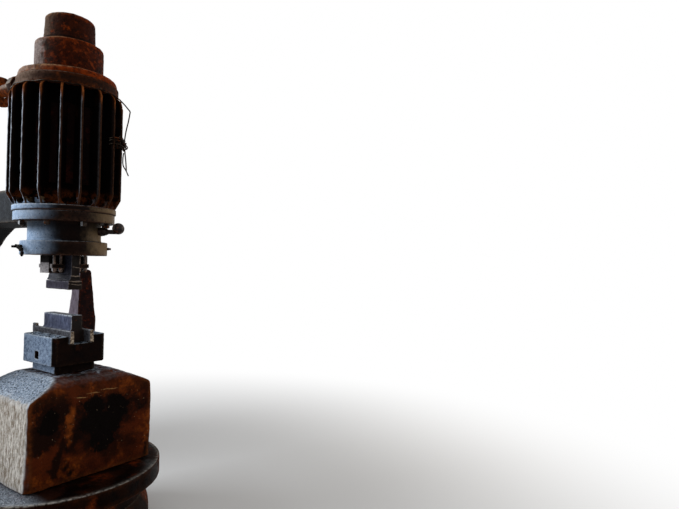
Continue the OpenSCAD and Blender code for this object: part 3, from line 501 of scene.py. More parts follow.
def turned(profile):
    # Spins an outline of (radius, height) points about the hammer's axis
    bm = bmesh.new()
    verts = [bm.verts.new((r, 0, z)) for r, z in profile]
    edges = [bm.edges.new(pair) for pair in zip(verts, verts[1:])]
    bmesh.ops.spin(bm, geom=verts + edges, axis=(0, 0, 1), cent=(0, 0, 0), dvec=(0, 0, 0),
                   angle=math.tau, steps=192, use_merge=True)
    bmesh.ops.remove_doubles(bm, verts=bm.verts, dist=1e-5)
    bmesh.ops.recalc_face_normals(bm, faces=bm.faces)
    return bm


def meshFrom(bm, name):
    mesh = bpy.data.meshes.new(name)
    bm.to_mesh(mesh)
    bm.free()
    return mesh


def closed(bm):
    # Joins what meets, and caps both ends
    bmesh.ops.remove_doubles(bm, verts=bm.verts, dist=1e-6)
    bmesh.ops.holes_fill(bm, edges=bm.edges, sides=0)


def takeShape(bm, holder):
    # Adds the mesh that a holder object evaluates to, and removes the holder
    made = bpy.data.meshes.new_from_object(holder.evaluated_get(bpy.context.evaluated_depsgraph_get()))
    bm.from_mesh(made)
    bpy.data.objects.remove(holder)
    bpy.data.meshes.remove(made)


def throughModifier(bm, kind, **settings):
    mesh = meshFrom(bm, "working")
    holder = newObject("working", mesh)
    modifier = holder.modifiers.new("step", kind)
    for key, value in settings.items():
        setattr(modifier, key, value)
    result = bmesh.new()
    takeShape(result, holder)
    bpy.data.meshes.remove(mesh)
    return result


def remeshed(bm, voxel, rounds=2):
    # Even small faces all over, with every edge worn round
    result = throughModifier(bm, "REMESH", mode="VOXEL", voxel_size=voxel, adaptivity=0)
    for _ in range(rounds):
        bmesh.ops.smooth_vert(result, verts=result.verts, factor=0.5,
                              use_axis_x=True, use_axis_y=True, use_axis_z=True)
    return result


def roughened(bm, layers, seed):
    # Each layer is (depth, size): noise about size across, which moves the skin more inwards than outwards
    bm.normal_update()
    moves = []
    for v in bm.verts:
        move = 0.0
        for number, (depth, size) in enumerate(layers):
            spot = v.co / size + Vector((seed * 3.1, number * 7.7, seed + number * 1.3))
            move += depth * (noise.noise(spot) - 0.5)
        moves.append(v.normal * move)
    for v, move in zip(bm.verts, moves):
        v.co += move


def markWear(bm, gain=3.0):
    # The attribute for worn edges and their painted highlights is high where the skin turns outwards sharply,
    # and is softened once
    layer = bm.verts.layers.float.new("wear")
    for v in bm.verts:
        turns = [e.calc_face_angle_signed(0.0) for e in v.link_edges]
        v[layer] = min(1.0, max(0.0, sum(turns) / max(1, len(turns)) * gain))
    around = [sum(e.other_vert(v)[layer] for e in v.link_edges) / max(1, len(v.link_edges)) for v in bm.verts]
    for v, value in zip(bm.verts, around):
        v[layer] = 0.5 * v[layer] + 0.5 * value


def bevelled(bm, edges, width, segments=2):
    bmesh.ops.bevel(bm, geom=list(edges), offset=width, segments=segments, profile=0.5,
                    affect="EDGES", material=-1)


def addBox(bm, low, high, bevel=0.0, segments=2):
    made = bmesh.ops.create_cube(bm, size=1)["verts"]
    low, high = Vector(low), Vector(high)
    place = Matrix.Translation((high + low) / 2) @ Matrix.Diagonal((*(high - low), 1))
    bmesh.ops.transform(bm, matrix=place, verts=made)
    if bevel:
        bevelled(bm, {e for v in made for e in v.link_edges}, bevel, segments)
    return bm


def addRod(bm, a, b, radius, sides=24, bevel=0.0):
    a, b = Vector(a), Vector(b)
    turn = (b - a).to_track_quat("Z", "Y").to_matrix().to_4x4()
    made = bmesh.ops.create_cone(bm, cap_ends=True, segments=sides, radius1=radius, radius2=radius,
                                 depth=(b - a).length, matrix=Matrix.Translation((a + b) / 2) @ turn)["verts"]
    if bevel:
        edges = {e for v in made for e in v.link_edges}
        if sides > 6:  # a nut is bevelled along its sides too
            edges = {e for e in edges if any(len(f.verts) == sides for f in e.link_faces)}
        bevelled(bm, edges, bevel)


def addRods(bm, place, way, parts):
    # Rods on one line: radius, start, end, sides and bevel of each
    place, way = Vector(place), Vector(way)
    for radius, start, end, sides, bevel in parts:
        addRod(bm, place + way * start, place + way * end, radius, sides, bevel)


def wireMesh(paths, radius):
    # Round wires along smooth curves through the points of each path
    bm = bmesh.new()
    for path, cyclic in paths:
        curve = bpy.data.curves.new("wirePath", "CURVE")
        curve.dimensions = "3D"
        curve.bevel_depth = radius
        curve.bevel_resolution = 2
        curve.resolution_u = 6
        curve.use_fill_caps = True
        line = curve.splines.new("BEZIER")
        line.bezier_points.add(len(path) - 1)
        for point, place in zip(line.bezier_points, path):
            point.co = place
            point.handle_left_type = point.handle_right_type = "AUTO"
        line.use_cyclic_u = cyclic
        takeShape(bm, newObject("wirePath", curve))
        bpy.data.curves.remove(curve)
    bmesh.ops.remove_doubles(bm, verts=bm.verts, dist=1e-6)
    return bm


def rotated(bm, degrees):
    bmesh.ops.transform(bm, matrix=Matrix.Rotation(math.radians(degrees), 4, "Z"), verts=bm.verts)


def camel(node):
    first, *others = node.split("_")
    return first + "".join(word.capitalize() for word in others)


def finished(node, bm, finish, body="hammer", sharp=None, second=None):
    # The piece takes the node's place. A second finish goes on the faces whose middle passes its test
    name = camel(node)
    bmesh.ops.recalc_face_normals(bm, faces=bm.faces)
    mesh = meshFrom(bm, name)
    mesh.materials.append(finishes[finish])
    if second:
        mesh.materials.append(finishes[second[0]])
        for face in mesh.polygons:
            face.material_index = int(second[1](face.center))
    mesh.shade_smooth()
    if sharp:
        mesh.set_sharp_from_angle(angle=math.radians(sharp))
    piece = newObject(name, mesh)
    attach(piece, body)
    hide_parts(*[node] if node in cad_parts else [])


# Rough castings and forgings: the CAD shape with even small faces, round edges and hollows

castings = {
    "anvil_block": {"finish": "anvilRust", "voxel": 0.0065, "rounds": 3, "seed": 3,
                    "layers": [(0.005, 0.16), (0.002, 0.045), (0.001, 0.015)]},
    "sow_block": {"finish": "forgeScale", "voxel": 0.003, "seed": 5, "crust": (0.0035, 0.022),
                  "layers": [(0.0012, 0.06), (0.0006, 0.012)]},
    "lower_die": {"finish": "dieSteel", "voxel": 0.0025, "seed": 6,
                  "layers": [(0.0008, 0.05), (0.0004, 0.01)]},
    "die_key_left": {"finish": "keySteel", "voxel": 0.0025, "seed": 7,
                     "layers": [(0.0015, 0.02), (0.0006, 0.007)]},
    "rear_post_left": {"finish": "postRust", "voxel": 0.005, "seed": 9,
                       "layers": [(0.0018, 0.07), (0.0008, 0.015)]},
    "sole_plate": {"finish": "framePaint", "voxel": 0.009, "seed": 11,
                   "layers": [(0.002, 0.12), (0.001, 0.03)]},
    "frame_column": {"finish": "framePaint", "voxel": 0.009, "seed": 12,
                     "layers": [(0.002, 0.16), (0.001, 0.04)]},
    "frame_arm": {"finish": "framePaint", "voxel": 0.009, "seed": 13,
                  "layers": [(0.002, 0.16), (0.001, 0.04)]},
    "guide_jaw_left": {"finish": "jawIron", "voxel": 0.002, "seed": 14,
                       "layers": [(0.0008, 0.03), (0.0004, 0.007)]},
    "valve_chest": {"finish": "castRust", "voxel": 0.004, "seed": 16,
                    "layers": [(0.0016, 0.06), (0.0008, 0.014)]},
    "chest_ports": {"finish": "castRust", "voxel": 0.004, "seed": 17, "layers": [(0.0012, 0.04)]},
    "steam_pipe": {"finish": "castRust", "voxel": 0.004, "seed": 18,
                   "layers": [(0.0008, 0.04), (0.0004, 0.01)]},
    "pipe_union": {"finish": "castRust", "voxel": 0.0025, "seed": 19,
                   "layers": [(0.001, 0.03), (0.0005, 0.009)]},
    "pipe_flange": {"finish": "castRust", "voxel": 0.003, "seed": 20,
                    "layers": [(0.001, 0.03), (0.0005, 0.01)]},
    "link_lug": {"finish": "castRust", "voxel": 0.002, "seed": 21, "layers": [(0.0008, 0.02)]},
    "ram": {"finish": "ramSteel", "voxel": 0.0025, "seed": 22, "body": "ram",
            "layers": [(0.0006, 0.05), (0.0003, 0.01)]},
    "upper_die": {"finish": "upperSteel", "voxel": 0.0025, "seed": 23, "body": "ram",
                  "layers": [(0.0008, 0.04), (0.0004, 0.01)]},
}


def crusted(bm, depth, size):
    # Flakes of scale on the faces that look up: the skin between them sinks
    bm.normal_update()
    for v in bm.verts:
        if v.normal.z > 0.9:
            flake = noise.noise(v.co / size) + 0.5 * noise.noise(v.co * 2.3 / size)
            v.co.z -= depth * min(1.0, max(0.0, 0.5 - 4 * flake))


def agedCopy(node, finish, voxel, layers, seed, rounds=2, body="hammer", crust=None):
    bm = bmesh.new()
    bm.from_mesh(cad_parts[node].data)
    bmesh.ops.remove_doubles(bm, verts=bm.verts, dist=1e-5)
    bm = remeshed(bm, voxel, rounds)
    markWear(bm)
    roughened(bm, layers, seed)
    if crust:
        crusted(bm, *crust)
    finished(node, bm, finish, body)


for node, how in castings.items():
    agedCopy(node, **how)
    if node.endswith("_left"):  # its right-hand twin takes the next seed
        agedCopy(node.replace("_left", "_right"), **{**how, "seed": how["seed"] + 1})
print("castings made")


# Turned pieces, each about the hammer's axis

ramWay = {"half": 0.018, "gap": 0.0005, "from": 1.1, "to": 1.5}
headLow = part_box("neck")[1].z


def withRamWay(bm):
    # Cuts the way of the ram right through
    low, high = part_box("ram")
    gap = ramWay["gap"]
    half = ramWay["half"] + gap
    cutter = addBox(bmesh.new(), (-half, low.y - gap, ramWay["from"]), (half, high.y + gap, ramWay["to"]))
    mesh = meshFrom(cutter, "cutter")
    tool = newObject("cutter", mesh)
    result = throughModifier(bm, "BOOLEAN", operation="DIFFERENCE", object=tool, solver="EXACT")
    bpy.data.objects.remove(tool)
    bpy.data.meshes.remove(mesh)
    return result


def turnedPiece(node, outline, finish, layers, seed, step=0.012, cut=False):
    bm = turned([outline[0], *filledIn(outline[1:-1], step), outline[-1]])
    if cut:
        bm = withRamWay(bm)
    markWear(bm, 2.5)
    roughened(bm, layers, seed)
    finished(node, bm, finish, sharp=50 if cut else None)


def plateOutline(radius, low, high, lowEdge=0.003, topEdge=0.003, skirt=0.0):
    # Round edges, and a point on the top at the skirt of what stands there
    foot = arcPoints(radius - lowEdge, low + lowEdge, lowEdge, -90, 0, 3)
    top = arcPoints(radius - topEdge, high - topEdge, topEdge, 0, 90, 4)
    inner = [(skirt, high)] if skirt else []
    return [(0, low), *foot, *top, *inner, (0, high)]


def boxOutline(node, lowEdge, topEdge, skirt=0.0):
    low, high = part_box(node)
    return plateOutline(high.x, low.z, high.z, lowEdge, topEdge, skirt)


pedestal = {"bulge": 0.038, "from": 0.06, "rise": 0.09, "edge": 0.004}


def pedestalOutline():
    low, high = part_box("pedestal")
    foot, bulge, edge = high.x, pedestal["bulge"], pedestal["edge"]
    neck = foot - bulge
    quarter = arcPoints(0, 0, 1, 0, 90, 9)
    curve = [(neck + bulge * x, pedestal["from"] + pedestal["rise"] * z) for x, z in quarter]
    return [(0, low.z), (foot - edge, low.z), (foot, low.z + edge), *curve, (neck, high.z), (0, high.z)]


def neckOutline():
    low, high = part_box("neck")
    flare = 0.009
    curve = arcPoints(high.x, low.z + flare, flare, 270, 180, 4)
    return [(0, low.z), *curve, (high.x - flare, high.z), (0, high.z)]


cap = {"draft": 0.004, "edge": 0.014, "flat": 0.04}


def capOutline():
    low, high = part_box("buffer_cap")
    edge = cap["edge"]
    crown = arcPoints(high.x - cap["draft"] - edge, high.z - edge, edge, 0, 90, 5)
    foot = [(0, low.z), (high.x - 0.002, low.z), (high.x, low.z + 0.003)]
    return [*foot, *crown, (cap["flat"], high.z), (0, high.z)]


headRing = {"radius": 0.2023, "height": 0.041, "skin": 0.0003}


def headOutline():
    # A painted skin on the frame's own head ring, which is no node of its own
    skin = headRing["skin"]
    return plateOutline(headRing["radius"], headLow - skin, headLow + headRing["height"] + skin)


rough = [(0.0022, 0.09), (0.0011, 0.02)]
smoother = [(0.0009, 0.07), (0.0005, 0.015)]
turnedPiece("pedestal", pedestalOutline(), "pedestalRust", rough, 31)
turnedPiece("base_disc", boxOutline("base_disc", 0.009, 0.009, 0.25), "oilyDisc", rough, 32)
turnedPiece("neck", neckOutline(), "greyPaint", smoother, 33, cut=True)
turnedPiece("guide_flange", boxOutline("guide_flange", 0.004, 0.004), "greyPaint", smoother, 34, cut=True)
turnedPiece("head_ring", headOutline(), "greyPaint", smoother, 35, cut=True)
turnedPiece("top_ring", boxOutline("top_ring", 0.003, 0.005), "ringRust", smoother, 36)
turnedPiece("cover_plate", boxOutline("cover_plate", 0.002, 0.016, 0.12), "coverRust", rough, 37)
turnedPiece("cover_drum", boxOutline("cover_drum", 0.001, 0.008, 0.08), "coverRust", rough, 38)
turnedPiece("buffer_cap", capOutline(), "capRust", rough, 39, step=0.009)
print("turned pieces made")


# Ribbed barrel: a grid wrapped round the axis, with the ribs, their feet and the webs between them

barrel = {
    "ribs": 18,
    "turn": math.radians(16),
    "thickness": 0.010,
    "tipRound": 0.0035,
    "reach": 0.229,
    "footReach": 0.203,
    "taper": 0.050,
    "shoulder": 0.036,
    "floor": 0.168,
    "fillet": 0.006,
    "web": 0.038,
    "webOut": 0.2015,
    "flange": 0.207,
    "flangeHeight": 0.025,
    "inside": 0.15,
    "nick": 0.0016,
    "paintTop": 0.026,
}
barrelLow, barrelHigh = (corner.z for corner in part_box("ribbed_barrel"))
ribFoot = barrelLow + barrel["flangeHeight"]


def ribReach(height):
    grown = min(1.0, (height - ribFoot) / barrel["taper"])
    reach = barrel["footReach"] + (barrel["reach"] - barrel["footReach"]) * grown
    below = barrelHigh - height
    bend = barrel["shoulder"]
    if below < bend:
        reach = min(reach, barrel["reach"] - bend + math.sqrt(max(0.0, bend ** 2 - (bend - below) ** 2)))
    return reach


def ribSection(height):
    # Radius and angle of 14 points, from a rib's middle to the middle of the gap beside it
    half = barrel["thickness"] / 2
    tip = barrel["tipRound"]
    reach = ribReach(height)
    halfPitch = math.pi / barrel["ribs"]
    rest = max(0.0, 1 - (height - ribFoot) / barrel["web"])
    fill = 1 - math.sqrt(1 - rest ** 2)
    webAngle = fill * halfPitch * 0.97
    out = min(barrel["webOut"], reach - tip - 0.0005)
    floor, fillet = barrel["floor"], barrel["fillet"]
    away = 1 - min(1.0, fill * 10)

    def side(radius):
        return (half + 0.02 * (reach - radius)) / radius

    def wall(radius):
        return max(side(radius), webAngle)

    neck = (reach - tip + out) / 2
    sixth, seventh = out - 0.006 * away, out - 0.012 * away
    eighth = (seventh + floor + fillet) / 2
    first = [
        (reach, 0.0), (reach, (half - tip) / reach), (reach - 0.3 * tip, (half - 0.3 * tip) / reach),
        (reach - tip, half / reach), (neck, side(neck)), (out, side(out)),
        (sixth, (side(sixth) + wall(sixth)) / 2), (seventh, wall(seventh)), (eighth, wall(eighth)),
        (floor + fillet, wall(floor + fillet)),
    ]
    foot = wall(floor)
    turnIn = min(halfPitch, foot + fillet / floor)
    last = [
        (floor + 0.3 * fillet, min(halfPitch, foot + 0.3 * fillet / floor)), (floor, turnIn),
        (floor, (turnIn + halfPitch) / 2), (floor, halfPitch),
    ]
    return first + last


def barrelRows():
    # Each row is a height, the radius of a plain round row or None for a ribbed one, and its wear
    top, low = barrelHigh, barrelLow
    flange, inside = barrel["flange"], barrel["inside"]
    rows = [
        (low, inside, 0), (low, flange - 0.003, 0.3), (low + 0.002, flange, 0.8), (low + 0.009, flange, 0),
        (low + 0.017, flange, 0), (ribFoot - 0.002, flange, 0.8), (ribFoot, flange - 0.002, 0.6),
    ]
    grown = barrel["taper"]
    steps = [0.0003, 0.0012, 0.003, 0.006, 0.010, 0.015, 0.021, 0.028, 0.034, 0.038, 0.043, grown]
    rows += [(ribFoot + step, None, 0) for step in steps]
    bend = barrel["shoulder"]
    straight = top - bend - (ribFoot + grown)
    rows += [(ribFoot + grown + straight * i / 40, None, 0) for i in range(1, 41)]
    rows += [(top - bend + bend * math.sin(math.radians(11.25 * i)), None, 0) for i in range(1, 9)]
    return rows + [(top, inside, 0)]


def makeBarrel():
    rows = barrelRows()
    last = 13  # the point of a section in the middle of a gap
    order = [last - i for i in range(last)] + list(range(last))
    signs = [-1] * last + [1] * last
    columns = barrel["ribs"] * 2 * last
    lowSection = ribSection(ribFoot + 0.0003)
    highSection = ribSection(barrelHigh)
    sections = []
    for height, plain, _ in rows:
        shape = lowSection if height <= ribFoot else highSection if plain else ribSection(height)
        sections.append([(plain or radius, angle) for radius, angle in shape])
    bm = bmesh.new()
    bmesh.ops.create_grid(bm, x_segments=columns, y_segments=len(rows) - 1, size=0.5)
    wear = bm.verts.layers.float.new("wear")
    # High values on the rib tips, so that the lit tone draws them as thin painted highlight lines
    tipWearAndHighlight = {0: 0.75, 1: 1.0, 2: 0.8, 3: 0.15}
    for v in bm.verts:
        column = round((v.co.x + 0.5) * columns) % columns
        row = round((v.co.y + 0.5) * (len(rows) - 1))
        rib, place = divmod(column, 2 * last)
        point = order[place]
        height, plain, rowWear = rows[row]
        radius, angle = sections[row][point]
        turn = barrel["turn"] + rib * math.tau / barrel["ribs"] + signs[place] * angle
        if not plain:
            nick = noise.noise(Vector((rib * 5.3, signs[place] * 0.4, height * 38)))
            sway = noise.noise(Vector((rib * 2.1, 3.7, height * 7)))
            if point <= 3:
                radius -= barrel["nick"] * max(0.0, nick * 2.2) + 0.0004
                turn += 0.0012 * nick
            turn += 0.004 * sway * (radius - barrel["floor"]) / 0.06
        v.co = (radius * math.cos(turn), radius * math.sin(turn), height)
        # The lower rib sides near the flange get 0.4 as painted window light on the lit webs
        wearAndLight = 0.4 if point in (5, 7) and height < ribFoot + 0.03 else tipWearAndHighlight.get(point, 0.0)
        v[wear] = rowWear if plain else wearAndLight
    closed(bm)
    roughened(bm, [(0.0006, 0.03)], 41)

    def painted(middle):
        # The flange, and the ribs' feet on the side towards the window
        towards = windowSide[0] * middle.x + windowSide[1] * middle.y
        left = towards > 0.075 + 0.02 * noise.noise(middle * 40)
        top = barrel["paintTop"] + 0.006 * noise.noise(middle * 60) if left else 0.0005
        return middle.z < ribFoot + top

    finished("ribbed_barrel", bm, "barrelIron", sharp=60, second=("greyPaint", painted))


makeBarrel()

# Upright pads in the gaps, with fine level ridges
pads = {"from": 0.160, "to": 0.180, "half": 0.0145, "round": 0.002, "ridge": 0.0012, "rows": 96, "skip": 3}


def makePads():
    low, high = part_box("barrel_pads")
    inner, outer, half, bend = pads["from"], pads["to"], pads["half"], pads["round"]
    ring = [(inner, -half), (outer - bend, -half), (outer, bend - half), (outer, 0), (outer, half - bend),
            (outer - bend, half), (inner, half), (inner, 0), (inner, -half)]
    bm = bmesh.new()
    for gap in range(barrel["ribs"]):
        if gap == pads["skip"]:
            continue
        turn = Matrix.Rotation(barrel["turn"] + (gap + 0.5) * math.tau / barrel["ribs"], 4, "Z")
        made = bmesh.ops.create_grid(bm, x_segments=len(ring) - 1, y_segments=pads["rows"], size=0.5)
        for v in made["verts"]:
            reach, across = ring[round((v.co.x + 0.5) * (len(ring) - 1))]
            row = round((v.co.y + 0.5) * pads["rows"])
            if reach > inner and row % 3 == 0:
                reach -= pads["ridge"]
            v.co = turn @ Vector((reach, across, low.z + (high.z - low.z) * row / pads["rows"]))
    closed(bm)
    finished("barrel_pads", bm, "padRed", sharp=40)


makePads()
print("barrel made")


# Small fittings. All but the studs are built along +X and then turned to their place round the axis

headBolts = {"count": 8, "turn": -4.5, "circle": 0.178, "width": 0.020, "height": 0.018}
flangeLow, neckLow = (corner.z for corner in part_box("guide_flange"))
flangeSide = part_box("guide_flange")[1].x
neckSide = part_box("neck")[1].x - 0.009


def makeHeadBolts():
    bm = bmesh.new()
    mid, half, height = headBolts["circle"], headBolts["width"] / 2, headBolts["height"]
    for _ in range(headBolts["count"]):
        addBox(bm, (mid - half, -half, headLow - height), (mid + half, half, headLow), 0.0022)
        addRod(bm, (mid, 0, headLow - height - 0.0015), (mid, 0, headLow - height + 0.001), half * 0.8)
        rotated(bm, 360 / headBolts["count"])
    rotated(bm, headBolts["turn"])
    finished("head_bolts", bm, "boltSteel", sharp=35)


wingBolt = {
    "turn": 175, "tilt": -12, "drop": 0.028,
    "shank": 0.014, "radius": 0.009, "end": 0.024, "endRadius": 0.0055,
    # Along the wings, up, and half of the depth, length and height of each lobe
    "lobes": ((-0.018, -0.001, 0.006, 0.014, 0.008), (0.018, 0.002, 0.010, 0.018, 0.011),
              (0.038, -0.004, 0.009, 0.014, 0.010), (0.052, -0.018, 0.007, 0.009, 0.014)),
}


def makeWingBolt():
    bm = bmesh.new()
    height = neckLow - wingBolt["drop"]
    shank = wingBolt["shank"]
    addRods(bm, (flangeSide, 0, height), (1, 0, 0), (
        (wingBolt["radius"], -0.002, shank + 0.004, 24, 0.001),
        (wingBolt["endRadius"], shank, shank + wingBolt["end"], 24, 0.001),
    ))
    tilt = Matrix.Rotation(math.radians(wingBolt["tilt"]), 4, "X")
    tilt = Matrix.Translation((flangeSide + shank, 0, height)) @ tilt
    for along, up, deep, long, tall in wingBolt["lobes"]:
        place = tilt @ Matrix.Translation((0, along, up)) @ Matrix.Diagonal((deep, long, tall, 1))
        bmesh.ops.create_uvsphere(bm, u_segments=24, v_segments=12, radius=1, matrix=place)
    rotated(bm, wingBolt["turn"])
    bm = remeshed(bm, 0.0013)
    roughened(bm, [(0.0004, 0.008)], 43)
    markWear(bm)
    finished("wing_bolt", bm, "handleIron")


setScrews = {"turn": -34, "out": 0.015, "radius": 0.0065, "neckHeight": 0.036}


def makeSetScrews():
    bm = bmesh.new()
    r = setScrews["radius"]
    places = ((flangeSide, neckLow - wingBolt["drop"]), (neckSide, neckLow + setScrews["neckHeight"]))
    for start, height in places:
        addRods(bm, (start, 0, height), (1, 0, 0), (
            (r, -0.002, 0.006, 6, 0.0006),
            (r * 0.75, 0, setScrews["out"], 20, 0.0008),
        ))
    rotated(bm, setScrews["turn"])
    finished("set_screws", bm, "boltSteel", sharp=35)


cock = {
    "turn": -50, "drop": 0.035, "boss": 0.0175, "bossOut": 0.012, "hex": 0.020, "stem": 0.010,
    "ball": 0.0258, "ballHeight": 1.339, "reach": 0.229,
}


def makeCock():
    boss, hexStart, reach = cock["boss"], cock["bossOut"], cock["reach"]
    hexEnd = hexStart + cock["hex"]
    bm = bmesh.new()
    addRods(bm, (neckSide, 0, headLow - cock["drop"]), (1, 0, 0), (
        (boss, -0.012, hexStart, 32, 0.002),
        (boss - 0.001, hexStart - 0.001, hexEnd, 6, 0.0012),
        (boss * 0.75, hexEnd - 0.002, hexEnd + 0.005, 24, 0.001),
        (cock["stem"], 0, reach - neckSide, 24, 0.0015),
    ))
    rotated(bm, cock["turn"])
    finished("drain_cock", bm, "cockMetal", sharp=40)
    ball = bmesh.new()
    place = Matrix.Translation((reach, 0, cock["ballHeight"]))
    bmesh.ops.create_uvsphere(ball, u_segments=64, v_segments=32, radius=cock["ball"], matrix=place)
    rotated(ball, cock["turn"])
    roughened(ball, [(0.0003, 0.012)], 44)
    finished("cock_ball", ball, "cockMetal")


studs = {
    "x": (0.040, 0.068), "y": 0.048, "radius": 0.006, "low": 1.142, "nut": (1.146, 1.160), "across": 0.010,
}


def makeStuds():
    bm = bmesh.new()
    nutLow, nutHigh = studs["nut"]
    across = studs["across"]
    for x in studs["x"]:
        for place in ((-x, -studs["y"]), (-x, studs["y"]), (x, -studs["y"]), (x, studs["y"])):
            addRods(bm, (*place, 0), (0, 0, 1), (
                (studs["radius"], studs["low"], flangeLow, 20, 0.001),
                (across, nutLow, nutHigh - 0.0015, 6, 0.001),
                (across + 0.0015, nutHigh - 0.0018, nutHigh, 24, 0.0004),
            ))
    finished("guide_studs", bm, "studSteel", sharp=35)


makeHeadBolts()
makeWingBolt()
makeSetScrews()
makeCock()
makeStuds()
print("fittings made")


# Binding wire with its bent tail, and the twisted tie that holds it on one rib

wire = {"radius": 0.0028, "loop": 0.2186, "tailTurn": -44, "rod": 0.0062, "clipTop": 1.746}


def onRib(radius, across, height, turn=wire["tailTurn"]):
    a = math.radians(turn)
    return (radius * math.cos(a) - across * math.sin(a), radius * math.sin(a) + across * math.cos(a), height)


def makeWire():
    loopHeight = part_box("binding_wire")[1].z - 0.0035
    loop = []
    for number in range(barrel["ribs"] * 2):
        atRib = number % 2 == 0
        turn = barrel["turn"] + number * math.pi / barrel["ribs"]
        wander = 0.0012 * noise.noise(Vector((number * 1.7, 2, 5)))
        radius = wire["loop"] - (0.0 if atRib else 0.0035) + wander
        height = loopHeight - (0.0 if atRib else 0.0015) + wander
        loop.append((radius * math.cos(turn), radius * math.sin(turn), height))
    leaving = ((0.2215, 0.004, -84), (0.2240, 0.001, -74), (0.2295, -0.007, -64), (0.2400, -0.021, -55),
               (0.2560, -0.042, -46.5), (0.2612, -0.050, -44.3))
    tail = [onRib(reach, 0, loopHeight + rise, turn) for reach, rise, turn in leaving]
    tail += [onRib(0.2605, -0.0005, loopHeight - 0.056), onRib(0.255, -0.001, loopHeight - 0.093),
             onRib(0.246, 0.001, loopHeight - 0.135), onRib(0.240, 0.0, wire["clipTop"] - 0.002)]
    twist = [onRib(0.2215 + 0.003 * math.cos(a), 0.0045 * math.sin(a), loopHeight + 0.002 + 0.0012 * a, -84)
             for a in (i * 0.9 for i in range(5))]
    bm = wireMesh([(loop, True), (tail, False), (twist, False)], wire["radius"])
    finished("binding_wire", bm, "wireSteel")


def makeTie():
    # Turns of wire round two ribs, a twisted knot with a ring, a short rod through it, and loose ends
    top = wire["clipTop"]
    left = wire["tailTurn"] - math.degrees(math.tau / barrel["ribs"])
    paths = []
    for turnNo in range(5):
        height = top - 0.012 - 0.0075 * turnNo + 0.002 * (turnNo % 2)
        reach = 0.2345 + 0.0012 * (turnNo % 3)
        across = 0.0095 - 0.001 * (turnNo % 2)
        points = ((reach, -0.7, 0), (reach + 0.002, 0, 0.001), (reach, 0.7, 0), (0.222, 1, -0.001),
                  (0.206, 0.8, -0.002), (0.206, -0.8, 0.001), (0.222, -1, 0))
        paths.append(([onRib(out, across * part, height + rise) for out, part, rise in points], True))
    for turnNo in range(3):
        height = top - 0.012 - 0.013 * turnNo + 0.003 * (turnNo % 2)
        paths.append(([onRib(0.238, 0.003, height), onRib(0.241, -0.030, height + 0.004 - 0.002 * turnNo),
                       onRib(0.236, 0.002, height + 0.003, left), onRib(0.222, -0.010, height, left),
                       onRib(0.205, 0.0, height - 0.002, left), onRib(0.214, 0.014, height - 0.003, left),
                       onRib(0.232, -0.036, height - 0.004), onRib(0.236, -0.012, height - 0.003)], True))
    knot = [onRib(0.240 + 0.006 * math.cos(a), 0.004 + 0.007 * math.sin(a), top - 0.014 - 0.0035 * a)
            for a in (i * 0.8 for i in range(16))]
    snarl = [onRib(0.234 + 0.007 * math.cos(a), 0.015 * math.sin(a) - 0.018, top - 0.010 - 0.0026 * a)
             for a in (i * 0.9 for i in range(14))]
    ring = [onRib(0.242 + 0.009 * math.cos(a), 0.010 + 0.005 * math.sin(a), top - 0.034 + 0.009 * math.sin(a))
            for a in (i * math.tau / 8 for i in range(8))]
    paths += [(knot, False), (snarl, False), (ring, True)]
    looseEnds = (
        ((0.240, 0.006, 0.042), (0.2425, 0.010, 0.070), (0.245, 0.016, 0.102), (0.2465, 0.022, 0.136)),
        ((0.238, -0.002, 0.060), (0.234, 0.004, 0.090), (0.2355, 0.010, 0.118), (0.244, 0.020, 0.134),
         (0.255, 0.028, 0.160)),
    )
    for points in looseEnds:
        paths.append(([onRib(reach, across, top - drop) for reach, across, drop in points], False))
    bm = wireMesh(paths, wire["radius"])
    addRod(bm, onRib(0.243, 0.008, top - 0.026), onRib(0.247, -0.112, top - 0.012), wire["rod"], 16, 0.0015)
    finished("tie_clip", bm, "wireSteel", sharp=40)


makeWire()
makeTie()
print("wire made")


# Chest covers with their bolts, the link rod, and the frame's bolts

cover = {
    "turn": -4, "side": 0.080, "middle": 0.322, "thick": 0.020, "high": 0.078, "deep": 0.136,
    "boltIn": 0.014, "bolt": 0.0085, "washer": 0.0105,
}


def makeCover(side, node):
    low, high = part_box("chest_cover_right")
    middle = Vector((cover["side"], cover["middle"], (low.z + high.z) / 2))
    half = Vector((0, cover["deep"] / 2, cover["high"] / 2))
    step = Vector((0, 0.003, 0.003))
    thick = cover["thick"]
    bm = bmesh.new()
    addBox(bm, middle - half + Vector((0.008, 0, 0)), middle + half + Vector((thick - 0.004, 0, 0)), 0.003, 3)
    addBox(bm, middle - half + step, middle + half - step + Vector((0.010, 0, 0)), 0.001, 1)
    across, up = half.y - cover["boltIn"], half.z - cover["boltIn"]
    for y in (-across, 0, across):
        for z in (-up, up):
            addRods(bm, middle + Vector((thick - 0.005, y, z)), (1, 0, 0), (
                (cover["bolt"], 0, 0.005, 6, 0.0008),
                (cover["washer"], 0, 0.0015, 24, 0.0004),
            ))
    if side < 0:
        bmesh.ops.scale(bm, vec=(-1, 1, 1), verts=bm.verts)
    rotated(bm, cover["turn"])
    finished(node, bm, "greyPaint", sharp=35)


makeCover(1, "chest_cover_right")
makeCover(-1, "chest_cover_left")

link = {
    "rod": 0.005, "pin": 0.006, "boss": 0.009, "foot": (-0.060, 0.377), "footDrop": 0.018,
    "lug": (-0.073, 0.155), "pinOut": 0.013, "pinHeight": 0.026,
}


